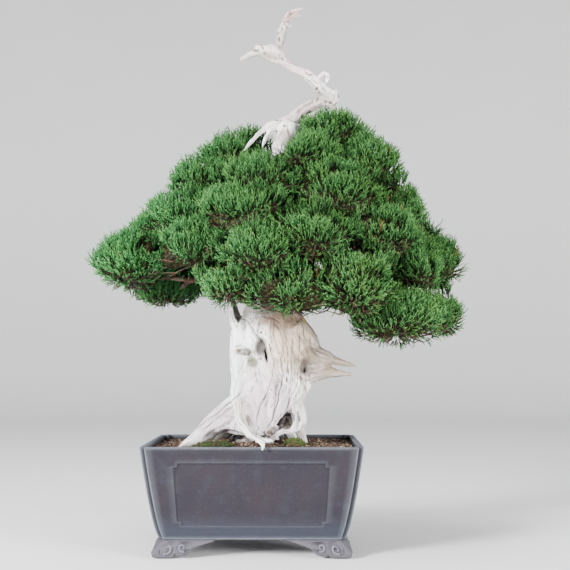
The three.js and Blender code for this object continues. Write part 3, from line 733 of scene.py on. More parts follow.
def soilMaterial():
    material, tree, shader, place = newMaterial("soilGranules", 0.95)
    tint = axesOf(tree, storedVector(tree, "grainTint"))[0]
    blotches, specks = mottled(tree, place, 30.0, 900.0, 5.0)
    body = colourRamp(tree, tint, [
        (0.0, (0.022, 0.014, 0.010)), (0.45, (0.07, 0.042, 0.026)), (0.75, (0.13, 0.082, 0.05)),
        (0.93, (0.24, 0.18, 0.12)), (1.0, (0.33, 0.30, 0.27)),
    ])
    body = tinted(tree, body, blotches, 0.42, 0.6, (0.6, 0.5, 0.42), 1, "MULTIPLY")  # damp patches
    finishMaterial(tree, shader, body, specks, 0.5, 0.0008)
    return material


def soilGrains(draw):  # each granule is a skewed eight-sided lump
    halfX, halfY = (half - potSet["wall"] - soilSet["grainGap"] for half in potHalf(soilSet["edge"]))
    notch, pitch = potSet["notch"], soilSet["grainPitch"]
    jitter, skew = soilSet["grainJitter"], soilSet["grainSkew"]
    xs, ys = np.meshgrid(np.arange(-halfX, halfX, pitch), np.arange(-halfY, halfY, pitch))
    xs = xs.ravel() + draw.uniform(-jitter, jitter, xs.size) * pitch
    ys = ys.ravel() + draw.uniform(-jitter, jitter, ys.size) * pitch
    inside = (np.abs(xs) < halfX) & (np.abs(ys) < halfY)
    inside &= (np.abs(xs) < halfX - notch) | (np.abs(ys) < halfY - notch)
    xs, ys = xs[inside], ys[inside]
    count = len(xs)
    size = draw.uniform(*soilSet["grainSize"], count)
    size = size * np.where(draw.random(count) < soilSet["grainLargeShare"], soilSet["grainLarge"], 1)
    zs = soilHeight(xs, ys) + soilSet["grainSink"] * size * draw.uniform(-0.6, 1.0, count)
    corners = np.array([[1, 0, 0], [-1, 0, 0], [0, 1, 0], [0, -1, 0], [0, 0, 1], [0, 0, -1]], dtype=float)
    faces = np.array([[0, 2, 4], [2, 1, 4], [1, 3, 4], [3, 0, 4], [2, 0, 5], [1, 2, 5], [3, 1, 5], [0, 3, 5]])
    turned = corners[None] * draw.uniform(*soilSet["grainReach"], (count, 6, 3))
    turned = turned + draw.uniform(-skew, skew, (count, 6, 3))
    spin = draw.uniform(0, 2 * math.pi, count)
    cos, sin = np.cos(spin)[:, None], np.sin(spin)[:, None]
    x = turned[..., 0] * cos - turned[..., 1] * sin
    y = turned[..., 0] * sin + turned[..., 1] * cos
    shape = np.stack([x, y, soilSet["grainFlat"] * turned[..., 2]], axis=-1) * size[:, None, None]
    points = (shape + np.stack([xs, ys, zs], axis=-1)[:, None]).reshape(-1, 3)
    return points, copiedFaces(faces, 6, count), np.repeat(draw.random(count) ** 1.3, 6)


def soilBlock():  # a lumpy top, and flat sides and bottom inside the pot
    halfX, halfY = (half - potSet["wall"] - soilSet["blockGap"] for half in potHalf(soilSet["edge"]))
    across, deep = int(2 * halfX / soilSet["cell"]), int(2 * halfY / soilSet["cell"])
    xs, ys = np.meshgrid(np.linspace(-halfX, halfX, across + 1), np.linspace(-halfY, halfY, deep + 1))
    notch = potSet["notch"]
    cornerX = np.clip(np.abs(xs), 0, halfX - notch * (np.abs(ys) > halfY - notch)) * np.sign(xs)
    flat = np.stack([cornerX.ravel(), ys.ravel()], axis=1)
    level = np.column_stack([flat / soilSet["lumpWidth"], np.zeros(len(flat))])
    lumps = soilSet["lump"] * softNoise(level, 21)
    top = np.column_stack([flat, soilHeight(*flat.T) - soilSet["lump"] + lumps])
    low = np.array([half - potSet["wall"] - soilSet["lowGap"] for half in potHalf(soilSet["low"])])
    low = low / (halfX, halfY)
    bottom = np.column_stack([flat * low, np.full(len(flat), soilSet["low"] + 2.5)])
    row, below = across + 1, len(top)
    faces = halved(
        (j * row + i, j * row + i + 1, (j + 1) * row + i + 1, (j + 1) * row + i)
        for j in range(deep) for i in range(across)
    )
    border = list(range(row)) + [(j + 1) * row - 1 for j in range(1, deep + 1)]
    border += [deep * row + i for i in range(across - 1, -1, -1)] + [j * row for j in range(deep - 1, 0, -1)]
    faces += [(below, below + (deep * row + across), below + across)]
    faces += [(below, below + deep * row, below + (deep * row + across))]
    for a, b in zip(border, border[1:] + border[:1]):
        faces += [(b, a, below + a), (b, below + a, below + b)]
    return np.vstack([top, bottom]), np.array(faces)


def buildSoil():
    draw = np.random.default_rng(41)
    blockPoints, blockFaces = soilBlock()
    used, renamed = np.unique(blockFaces, return_inverse=True)
    blockPoints, blockFaces = blockPoints[used], renamed.reshape(-1, 3)
    grainPoints, grainFaces, tint = soilGrains(draw)
    points, faces = gathered([(blockPoints, blockFaces), (grainPoints, grainFaces)])
    mesh = meshFrom("soil_granules", points * mm + potMiddle, faces, smooth=False)
    tints = np.concatenate([np.full(len(blockPoints), soilSet["blockTint"]), tint])
    setVectors(mesh, "grainTint", np.column_stack([tints] * 3))
    addPiece("soil_granules", mesh, soilMaterial(), ["soil"])
    print("soil:", len(faces), "triangles")


# Deadwood: the CAD's own shape made fine, with grain that runs along each limb (mm, radius last)
grainLimbs = {
    "trunk": [(0, 4, 150, 36), (1, 3, 190, 38), (10, 2, 222, 49), (17, 1, 255, 58), (22, 2, 300, 63),
              (26, 4, 345, 60), (30, 6, 385, 46), (35, 6, 440, 31), (39, 4, 510, 25), (41, 2, 580, 21),
              (42, 0, 632, 18), (46, -1, 670, 15), (54, -2, 704, 15)],
    "leftRoot": [(-18, -8, 222, 32), (-46, -22, 210, 23), (-68, -32, 198, 18), (-90, -40, 180, 13),
                 (-124, -50, 156, 6)],
    "frontRoot": [(-15, -46, 266, 17), (-25, -62, 238, 14), (-20, -88, 212, 11), (-4, -108, 190, 8),
                  (20, -130, 178, 4)],
    "rootStub": [(-3, -107, 190, 5), (32, -114, 180, 3)],
    "rightRing": [(50, -16, 252, 18), (64, -28, 226, 10), (66, -38, 203, 9), (56, -46, 188, 9),
                  (37, -52, 178, 10), (18, -56, 164, 10)],
    "rightRoot": [(62, -20, 230, 11), (72, -20, 198, 9), (85, -14, 156, 7)],
    "backRight": [(36, 26, 240, 25), (54, 56, 196, 17), (70, 84, 156, 9)],
    "backLeft": [(-18, 20, 228, 24), (-48, 46, 186, 14), (-72, 62, 156, 7)],
    "upperSpike": [(62, -4, 342, 22), (98, -8, 320, 13), (125, -14, 307, 9), (163, -26, 294, 3)],
    "lowerSpike": [(62, -10, 288, 22), (104, -16, 285, 12), (131, -22, 284, 8), (158, -30, 280, 3)],
    "leftSpike": [(-22, -22, 326, 18), (-29, -18, 366, 12), (-36, -12, 397, 7), (-43, -6, 418, 3)],
    "jinStem": [(52, 0, 696, 11), (79, 8, 724, 9), (102, 16, 739, 8), (133, 22, 748, 9), (134, 22, 760, 6)],
    "jinArm": [(131, 22, 750, 9), (114, 18, 760, 10), (102, 10, 773, 9), (87, 2, 783, 8), (65, -8, 791, 7),
               (26, -18, 804, 6), (9, -20, 812, 6), (-23, -26, 798, 3)],
    "jinUpright": [(41, -14, 800, 7), (38, -12, 821, 6), (44, -8, 839, 7), (52, 4, 874, 6), (78, 12, 896, 3)],
    "clawLong": [(50, -4, 704, 8), (24, -20, 694, 5), (3, -34, 671, 4), (-12, -44, 646, 2)],
    "clawShort": [(50, -4, 696, 8), (29, -22, 686, 5), (12, -42, 648, 2)],
}
# Folds on the front of the trunk: places (x, z) along each, then half width, depth (mm) and darkness, a
# painted shade in the fold
woodFolds = [
    ([(46, 310), (47, 286), (44, 258), (38, 235), (33, 217), (25, 200), (19, 188)], 1.3, 2.4, 0.75),
    ([(31, 294), (28, 272), (20, 251), (12, 233), (7, 217), (4, 202)], 1.1, 1.6, 0.5),
    ([(18, 290), (2, 282), (-14, 268), (-26, 249), (-33, 231)], 3.4, 2.6, 0.12),
    ([(-13, 270), (-24, 255), (-37, 239), (-57, 221), (-85, 200), (-106, 182)], 1.4, 1.8, 0.5),
    ([(56, 260), (58, 247), (53, 227), (51, 219)], 1.1, 1.4, 0.5),
    ([(29, 370), (41, 357), (47, 337), (48, 310)], 1.6, 1.6, 0.3),
    ([(61, 353), (63, 325), (61, 298), (63, 268), (59, 243)], 1.3, 1.2, 0.25),
    ([(73, 353), (75, 329), (73, 310)], 1.3, 1.2, 0.25),
    ([(-23, 376), (-10, 366), (2, 349), (16, 333), (21, 317), (21, 302)], 1.5, 2.6, 0.75),
    ([(-22, 400), (-26, 390), (-27, 378), (-14, 371)], 1.3, 1.8, 0.55),
    ([(-14, 371), (10, 374), (33, 372), (47, 361)], 1.6, 1.4, 0.35),
    ([(86, 347), (100, 317), (124, 304), (147, 298)], 1.3, 1.0, 0.2),
    ([(92, 325), (110, 310), (126, 300)], 1.1, 0.9, 0.2),
    ([(-26, 298), (-26, 278), (-30, 258), (-33, 239)], 1.8, 1.2, 0.12),
    ([(-26, 239), (-43, 223), (-67, 203), (-88, 188)], 1.1, 0.9, 0.3),
    ([(-37, 203), (-61, 194), (-79, 182)], 1.1, 0.8, 0.25),
    ([(-35, 325), (-24, 328), (-13, 325), (-6, 317)], 1.5, 1.6, 0.4),
    ([(2, 270), (-2, 247), (-10, 227)], 3.5, 1.6, 0.08),
    ([(40, 278), (35, 247), (25, 221)], 3.0, 1.4, 0.06),
    ([(31, 325), (35, 298), (31, 266), (21, 237)], 5.0, -2.4, 0),
    ([(-26, 217), (-10, 203), (2, 186)], 4.0, -1.5, 0),
]
# The long fine grain lines down the right of the trunk run between these edges (mm)
grainEdges = {
    "z": (200, 230, 260, 300, 350), "left": (8, 10, 22, 32, 24), "right": (34, 64, 84, 86, 84), "lines": 15,
    "starts": (290, 352), "ends": (206, 262), "width": 0.9, "depth": (0.6, 1.2), "dark": (0.2, 0.5),
}
woodSet = {
    "voxel": 0.0022, "even": 34, "wind": -8.1, "stretch": 10.0, "fullThick": 0.045,
    "leastStrength": 0.16, "flute": 0.0013, "fluteSize": 0.021, "vein": 0.0006, "veinSize": 0.0085,
    "fine": 0.00025, "fineSize": 0.0036, "crack": 0.0009, "crackSize": 0.015, "crackWidth": 0.035,
    "crackPatch": 0.05, "crackDark": 0.6, "darkest": 0.9, "fillSides": 12, "tipSides": 8,
    "tipLump": 0.0005, "tipLumpSize": 0.004,
    # folds and holes in the front
    "foldWander": 1.6, "foldWanderSize": 0.014, "foldFacing": (0.35, -0.05), "foldFront": (0.03, -0.01),
    "foldDarker": 1.35, "foldDarkWidth": 0.85, "holeBowl": (1.15, 0.35), "holeDark": (1.0, 0.5),
    # hollows for the painted shade: rounds of evening out, and the depth (m) that counts as fully hollow
    "hollowClose": 3, "hollowWide": 16, "hollowLast": 4, "hollowWideShare": 0.25,
    "hollowFineDepth": 0.00028, "hollowBroadDepth": 0.0042,
    # how ragged the edges of large and small colour zones are, and the half width (mm) of a large one
    "zoneLarge": 0.9, "zoneSmall": 0.4, "zoneLargeFrom": 25,
}
# Holes in the front of the trunk: middle (x, z), half width and half height (mm), tilt in degrees,
# depth (mm) and darkness, a painted shade in the hole
woodHoles = [
    (-18, 319, 15, 6, 8, 6, 0.0), (-9, 317, 5, 2.6, -35, 3, 0.6), (11, 327, 10, 16, 12, 9, 0.5),
    (20, 314, 3.0, 13.5, -8, 12, 1.0), (12, 350, 2.4, 2.4, 0, 5, 0.9), (82, 293, 8, 13, -6, 5, 0.45),
    (84, 290, 3.5, 8, -6, 6, 0.6), (17, 186, 3.0, 7.5, 25, 7, 0.9), (-27, 385, 6.5, 20, -12, 16, 1.0),
    (-4, 368, 2.6, 5, 40, 4, 0.8), (53, 208, 19, 8, -26, 14, 1.0), (-33, 185, 22, 9, 12, 8, 0.6),
    (46, 803, 4, 2.2, 30, 2, 0.8), (14, 820, 2.4, 6, -30, 1.5, 0.6), (17, 810, 4, 2, 30, 1.5, 0.5),
    (127, 740, 5, 3, 0, 3, 0.8), (119, 741, 3, 2.5, 0, 2, 0.6), (90, 720, 8, 4, -30, 3, 0.7),
    (79, 711, 3.6, 7, 0, 2.5, 0.7), (62, 702, 9, 3.4, 20, 3, 0.7), (49, 690, 4, 4, 0, 2, 0.6),
    (37, 704, 4, 3, 0, 2, 0.6), (41, 838, 2.6, 6, 0, 1.6, 0.5), (104, 762, 4, 3, 0, 2, 0.4),
    (105, 744, 1.8, 8, 20, 2.5, 0.7), (46, 822, 2.4, 5, 0, 1.6, 0.4), (3, 823, 7, 7, 0, -2.5, 0),
    (40, 855, 5, 5, 0, -1.4, 0), (55, 867, 5, 5, 0, -1.4, 0), (92, 788, 8, 6, 0, -1.6, 0),
]
# Dents that any side may have: place, radius and depth (mm)
woodDents = [((-43, -16, 349), 17, 7)]
# Fills between limbs that the even mesh takes up: place and radius, along each (mm)
woodFills = [
    [(66, -8, 322, 34), (84, -10, 308, 27), (102, -13, 302, 18), (117, -17, 297, 9)],
    [(76, -14, 284, 26), (92, -15, 285, 20), (105, -17, 285, 15), (118, -19, 285.5, 11),
     (131, -22, 284.5, 8)],
    [(100, -11, 308, 18), (112, -14, 309, 14), (121, -16, 308.5, 11.5), (130, -18, 303, 7)],
    [(28, -6, 316, 22), (30, -28, 286, 25), (33, -39, 260, 22), (34, -43, 236, 18), (31, -45, 214, 14),
     (25, -48, 197, 9), (20, -51, 184, 5)],
    [(56, 2, 312, 22), (59, -18, 284, 24), (60, -28, 262, 22), (57, -30, 244, 18), (51, -33, 228, 12)],
    [(-2, -8, 312, 18), (-2, -32, 282, 22), (0, -41, 260, 21), (5, -46, 238, 18), (10, -51, 214, 14),
     (15, -55, 195, 9), (18, -58, 182, 5)],
    [(78, 2, 300, 14), (77, -12, 280, 17), (74, -19, 262, 17), (70, -21, 246, 13), (65, -23, 232, 8)],
    [(44, 4, 350, 22), (45, -18, 322, 28), (46, -29, 292, 28), (46, -33, 266, 22), (46, -34, 246, 14)],
    [(-18, -10, 300, 14), (-15, -38, 272, 18), (-12, -52, 246, 17), (-6, -60, 224, 15), (3, -66, 204, 11),
     (10, -72, 190, 7)],
    [(72, -16, 240, 9), (75, -24, 222, 10), (77, -28, 205, 10), (72, -36, 194, 9), (58, -46, 189, 8),
     (42, -54, 187, 6)],
    [(-13, -40, 252, 14), (-12, -54, 232, 13), (-8, -62, 216, 12), (-3, -71, 201, 9)],
    [(2, -20, 820, 7), (10, -19, 819, 10), (19, -18, 817, 12), (31, -16, 815, 13), (40, -14, 812, 11)],
    [(66, -4, 698, 11), (61, -7, 684, 11), (55, -9, 668, 11), (50, -10, 652, 11)],
    [(-62, -38, 202, 15), (-44, -42, 200, 15), (-28, -50, 198, 14), (-14, -60, 194, 11)],
    [(57, -12, 696, 13), (54, -20, 681, 15), (48, -26, 665, 15), (41, -29, 648, 14)],
    [(66, -6, 356, 24), (84, -8, 341, 19), (100, -10, 327, 12)],
    [(80, -14, 270, 13), (75, -14, 250, 11), (66, -16, 232, 8)],
    [(-12, -38, 264, 17), (-11, -50, 238, 15), (-6, -64, 214, 12), (0, -82, 194, 8)],
    [(128, 22, 752, 9), (134, 22, 757, 8)],
    [(-24, -24, 800, 4), (-8, -22, 810, 6), (6, -20, 817, 5)],
]
# How much thicker or thinner than their lines some limbs are, at their two ends (mm)
limbSwell = {
    "jinStem": (3.0, 2.0), "jinArm": (2.6, -1.2), "jinUpright": (2.2, 0.2), "clawLong": (-0.4, 0.2),
    "clawShort": (0.2, 0.4), "rightRing": (-3.0, -5.5), "frontRoot": (-3.0, -2.5), "rootStub": (-0.6, 0),
}
# Limbs that are drawn aside: limb, place and radius, then the move (mm)
woodDrawn = [
    ("rightRing", (37, -52, 178), 30, (4, 4, 11)), ("rightRing", (18, -56, 164), 20, (6, 8, 10)),
    ("frontRoot", (-24, -74, 226), 34, (3, 0, 6)), ("leftSpike", (-40, -12, 396), 30, (-3, 0, 14)),
]
# Thin ends and prongs that the even mesh can't hold: place and radius along each (mm)
woodTips = [
    [(45, -6, 846, 5), (50, 2, 866, 6.0), (54, 6, 881, 5.6), (58, 8, 890, 4.8), (66, 10, 895, 3.4),
     (80, 12, 900, 1.6)],
    [(58, 8, 883, 3.4), (65, 9, 884, 2.2), (78, 10, 888, 0.8)],
    [(52, 4, 869, 3.0), (58, 6, 868, 2.2), (61, 6, 871, 1.0)],
    [(102, 12, 774, 4.6), (108.6, 13, 782, 3.4), (113, 13, 787, 3.0), (118, 13, 789.6, 2.7),
     (122.6, 13, 787.4, 2.3), (123.7, 13, 782, 2.0), (121.6, 13, 776, 1.7), (119.2, 13, 772.7, 0.9)],
    [(136, -18, 303, 6), (148, -22, 300, 4.4), (158, -25, 297, 3.0), (166, -27, 295, 1.0)],
    [(136, -24, 284, 5.5), (148, -27, 283, 3.8), (160, -30, 281, 1.2)],
    [(-2, -38, 664, 3.4), (-9, -42, 655, 2.6), (-16, -45, 645, 1.0)],
    [(10, -125, 184, 5.0), (16, -131, 179.5, 3.8), (18, -135, 175, 3.0), (17, -137, 169, 1.2)],
    [(12, -122, 184, 4.0), (22, -124, 182, 3.2), (32, -124, 182, 1.4)],
]


def holeDepth(points, front):  # how deep and how dark the listed holes are at each point
    flat = (points - potMiddle)[:, [0, 2]] / mm
    depth, dark = np.zeros(len(points)), np.zeros(len(points))
    for x, z, wide, tall, tilt, cut, black in woodHoles:
        turn = math.radians(tilt)
        offset = flat - (x, z)
        across = offset[:, 0] * math.cos(turn) - offset[:, 1] * math.sin(turn)
        along = offset[:, 0] * math.sin(turn) + offset[:, 1] * math.cos(turn)
        reach = np.hypot(across / wide, along / tall)
        depth += cut * mm * (smoothStep(*woodSet["holeBowl"], reach) * front)
        dark = np.maximum(dark, smoothStep(*woodSet["holeDark"], reach) * front * black)
    return depth, dark


def smoothLine(places, steps=5):  # a smooth line through the places, for folds without corners
    places = np.array(places, dtype=float)
    ends = np.vstack([2 * places[0] - places[1], places, 2 * places[-1] - places[-2]])
    line = []
    for p0, p1, p2, p3 in zip(ends, ends[1:], ends[2:], ends[3:]):
        for t in np.arange(steps) / steps:
            line.append(0.5 * (2 * p1 + (p2 - p0) * t + (2 * p0 - 5 * p1 + 4 * p2 - p3) * t ** 2
                               + (3 * p1 - p0 - 3 * p2 + p3) * t ** 3))
    return np.array(line + [places[-1]])


def grainLines():  # long shallow lines down the trunk, each with its own start and end
    draw = np.random.default_rng(23)
    lines = []
    for number in range(grainEdges["lines"]):
        part = (number + draw.uniform(0.2, 0.8)) / grainEdges["lines"]
        z = np.linspace(draw.uniform(*grainEdges["starts"]), draw.uniform(*grainEdges["ends"]), 6)
        left, right = (np.interp(z, grainEdges["z"], grainEdges[side]) for side in ("left", "right"))
        places = np.column_stack([between(left, right, part), z])
        depth = draw.uniform(*grainEdges["depth"])
        lines.append((places, grainEdges["width"], depth, draw.uniform(*grainEdges["dark"])))
    return lines


def fineCopy(node, name, voxel, rounds, fills=()):  # a CAD node's shape as an even fine mesh
    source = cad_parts[node].data
    parts = [(vertexPlaces(source), np.array([face.vertices[:] for face in source.polygons]))]
    for rows in fills:
        path = fromPot(rows)
        parts.append(sweptTube(path[:, :3], path[:, 3], woodSet["fillSides"]))
    points, faces = gathered(parts)
    piece = addObject(name, meshFrom(name, points, faces))
    remesh = piece.modifiers.new("fine", "REMESH")
    remesh.mode = "VOXEL"
    remesh.voxel_size = voxel
    mesh = bpy.data.meshes.new_from_object(piece.evaluated_get(bpy.context.evaluated_depsgraph_get()))
    bpy.data.objects.remove(piece)
    mesh.name = name
    moveVertices(mesh, spread(vertexPlaces(mesh), edgeEnds(mesh), rounds, 0.5, -0.53))
    return mesh


def grainPlaces(points, limbs, wind, stretch):  # each point's place in its own limb, as if straightened
    best = np.full(len(points), np.inf)
    place = np.zeros((len(points), 3))
    thick = np.zeros(len(points))
    swell = np.zeros(len(points))
    owner = np.zeros(len(points), dtype=int)
    for number, (name, rows) in enumerate(limbs.items()):
        rows = fromPot(rows)
        across = squareTo(unit(rows[1, :3] - rows[0, :3]))[0]
        travelled = 0.0
        whole = np.linalg.norm(np.diff(rows[:, :3], axis=0), axis=1).sum()
        for start, end in zip(rows[:-1], rows[1:]):
            length = np.linalg.norm(end[:3] - start[:3])
            along = (end[:3] - start[:3]) / length
            across = unit(across - along * (across @ along))
            beside = np.cross(along, across)
            offset = points - start[:3]
            part = np.clip(offset @ along / length, 0, 1)
            away = offset - (part * length)[:, None] * along
            radius = start[3] + part * (end[3] - start[3])
            reached = travelled + part * length
            measure = np.linalg.norm(away, axis=1) / (radius + 0.003)
            nearer = measure < best
            turn = np.arctan2(away @ beside, away @ across) - wind * reached
            here = np.column_stack([radius * np.cos(turn), radius * np.sin(turn), reached / stretch])
            here = here + 0.31 * number
            best[nearer] = measure[nearer]
            place[nearer] = here[nearer]
            thick[nearer] = radius[nearer]
            owner[nearer] = number
            first, last = limbSwell.get(name, (0, 0))
            swell[nearer] = ((first + (last - first) * reached / whole) * mm)[nearer]
            travelled += length
    return place, thick, swell, owner


def foldDepth(points, normals):  # how deep the listed folds cut at each point of the front
    flat = (points - potMiddle)[:, [0, 2]] / mm
    wander = [softNoise(points / woodSet["foldWanderSize"], seed) for seed in (71, 72)]
    flat = flat + woodSet["foldWander"] * np.column_stack(wander)
    facing = smoothStep(*woodSet["foldFacing"], normals[:, 1])
    front = facing * smoothStep(*woodSet["foldFront"], points[:, 1])
    depth = np.zeros(len(points))
    groove = np.zeros(len(points))
    for places, width, cut, dark in woodFolds + grainLines():
        places = smoothLine(places)
        lengths = np.linalg.norm(np.diff(places, axis=0), axis=1)
        travelled = np.concatenate([[0], np.cumsum(lengths)])
        nearest = np.full(len(points), np.inf)
        where = np.zeros(len(points))
        for start, end, length, begun in zip(places[:-1], places[1:], lengths, travelled):
            offset = flat - start
            part = np.clip(offset @ (end - start) / length ** 2, 0, 1)
            distance = np.linalg.norm(offset - part[:, None] * (end - start), axis=1)
            nearer = distance < nearest
            nearest[nearer] = distance[nearer]
            where[nearer] = (begun + part * length)[nearer] / travelled[-1]
        taper = smoothStep(0, 0.18, where) * smoothStep(1, 0.8, where)
        depth += cut * mm * (bell(nearest, width) * taper * front)
        black = min(1, woodSet["foldDarker"] * dark)
        groove = np.maximum(groove, black * bell(nearest, woodSet["foldDarkWidth"] * width) * taper * front)
    holes, dark = holeDepth(points, facing)
    return depth + holes, np.maximum(groove, dark)


def hollowness(points, normals, edges):  # above 0 in hollows and cracks, below 0 on ridges
    close = spread(points, edges, woodSet["hollowClose"])
    wide = spread(close, edges, woodSet["hollowWide"])
    broad = np.sum((wide - points) * normals, axis=1)
    fine = np.sum((close - points) * normals, axis=1)
    fine = fine - woodSet["hollowWideShare"] * broad  # narrow hollows alone
    broad = spread(broad / woodSet["hollowBroadDepth"], edges, woodSet["hollowLast"])
    return np.clip(fine / woodSet["hollowFineDepth"], -1, 1), np.clip(broad, -1, 1)


# Colour zones of the deadwood, some of them painted shade in hollows and under the crown: middle and half
# size (mm), colour and strength
woodZones = [
    ((20, -45, 235), (52, 70, 62), (0.66, 0.545, 0.60), 0.8),
    ((-55, -40, 205), (55, 60, 30), (0.60, 0.51, 0.565), 0.75),
    ((60, -45, 345), (50, 90, 66), (0.46, 0.34, 0.235), 0.85),
    ((124, -10, 310), (62, 80, 34), (0.150, 0.105, 0.062), 0.85),
    ((126, -10, 281), (52, 80, 17), (0.205, 0.150, 0.105), 0.8),
    # painted shade where the trunk rises under the crown
    ((5, 0, 398), (60, 170, 34), (0.050, 0.043, 0.032), 0.9),
    ((42, -40, 368), (34, 80, 14), (0.21, 0.130, 0.080), 0.75),
    ((-30, -40, 330), (36, 80, 40), (0.90, 0.93, 0.91), 0.95),
    ((16, -60, 336), (13, 60, 24), (0.90, 0.91, 0.87), 0.8),
    ((-38, -40, 275), (24, 80, 45), (0.84, 0.90, 0.91), 0.85),
    ((-1, -45, 300), (10, 70, 9), (0.060, 0.066, 0.014), 0.8),
    ((-5, -45, 307), (7, 70, 7), (0.080, 0.080, 0.030), 0.7),
    # painted shade in the eye hollow under its lid, tinted olive
    ((-15, -45, 318), (19, 70, 7), (0.085, 0.080, 0.040), 0.75),
    # painted shade: near black in the hollow behind the right ring, then dark in the slit hollow, the notch
    # by the left spike and the pocket on the right
    ((54, 32, 206), (27, 62, 20), (0.016, 0.008, 0.006), 0.97),
    ((12, -45, 326), (11, 70, 17), (0.036, 0.020, 0.017), 0.8),
    ((-28, -20, 385), (8, 60, 18), (0.030, 0.026, 0.022), 0.85),
    ((84, -40, 294), (11, 80, 17), (0.060, 0.036, 0.026), 0.75),
    ((-20, -45, 286), (6, 80, 50), (0.42, 0.41, 0.37), 0.6),
    ((30, -60, 262), (12, 80, 46), (0.60, 0.50, 0.53), 0.5),
    ((75, 0, 798), (60, 60, 26), (0.62, 0.40, 0.45), 0.6),
    ((60, 0, 890), (32, 40, 22), (0.42, 0.23, 0.23), 0.65),
    ((75, 0, 722), (56, 60, 26), (0.44, 0.33, 0.30), 0.6),
    ((38, 0, 838), (18, 60, 26), (0.24, 0.215, 0.18), 0.7),
    ((18, 0, 806), (28, 60, 9), (0.24, 0.235, 0.18), 0.7),
    ((104, 10, 750), (36, 60, 11), (0.25, 0.22, 0.175), 0.7),
    ((48, -10, 668), (26, 60, 20), (0.25, 0.195, 0.14), 0.7),
    # painted shade: near black low at the back, seen under the arches, and on the trunk inside the crown
    ((-54, 60, 174), (40, 125, 21), (0.010, 0.011, 0.004), 0.97),
    ((-10, 70, 172), (44, 115, 15), (0.010, 0.007, 0.004), 0.96),
    ((45, 0, 528), (90, 90, 120), (0.012, 0.008, 0.005), 0.97),
]


def deadwoodMaterial():
    material, tree, shader, place = newMaterial("bleachedDeadwood", 0.78)
    grain = storedVector(tree, "grainPlace")
    hollow, broad, dark = axesOf(tree, storedVector(tree, "paintedHollowShade"))
    streaks = noiseNode(tree, grain, 260.0, 5.0, 0.62)
    body = colourRamp(tree, noiseNode(tree, grain, 62.0, 4.0, 0.6), [
        (0.30, (0.42, 0.37, 0.32)), (0.43, (0.66, 0.62, 0.58)), (0.56, (0.87, 0.87, 0.86)),
    ])
    body = tinted(tree, body, noiseNode(tree, place, 17.0, 3.0), 0.5, 0.64, (0.72, 0.62, 0.67), 0.4)  # lilac
    for middle, half, colour, most in woodZones:
        spot = addNode(tree, "Group", {
            "Place": place, "Middle": tuple(fromPot([middle])[0]), "Half": [size * mm for size in half],
            "Ragged": woodSet["zoneLarge"] if half[0] > woodSet["zoneLargeFrom"] else woodSet["zoneSmall"],
        }, node_tree=patch)
        body = mixColour(tree, maths(tree, "MULTIPLY", spot.outputs["Mask"], most), body, (*colour, 1))
    body = tinted(tree, body, streaks, 0.50, 0.33, (0.26, 0.21, 0.19), 0.85, "MULTIPLY")  # dark grain
    # painted shade: darker in narrow hollows and cracks, softly darker in broad hollows, near black in folds,
    # holes and cracks
    body = tinted(tree, body, hollow, 0.35, 1.0, (0.10, 0.075, 0.060))
    body = tinted(tree, body, broad, 0.25, 1.1, (0.20, 0.16, 0.13), 0.45)
    body = mixColour(tree, dark, body, (0.040, 0.032, 0.026, 1))
    height = axesOf(tree, place)[2]
    body = tinted(tree, body, height, 0.177, 0.160, (0.045, 0.032, 0.022))  # damp at the soil
    finishMaterial(tree, shader, body, streaks, 0.55, 0.0012)
    return material


def nearPlace(points, middle, radius, inner):  # 1 within the inner share of a radius (mm) about a place
    away = np.linalg.norm(points - fromPot([middle])[0], axis=1) / (radius * mm)
    return smoothStep(1.0, inner, away)


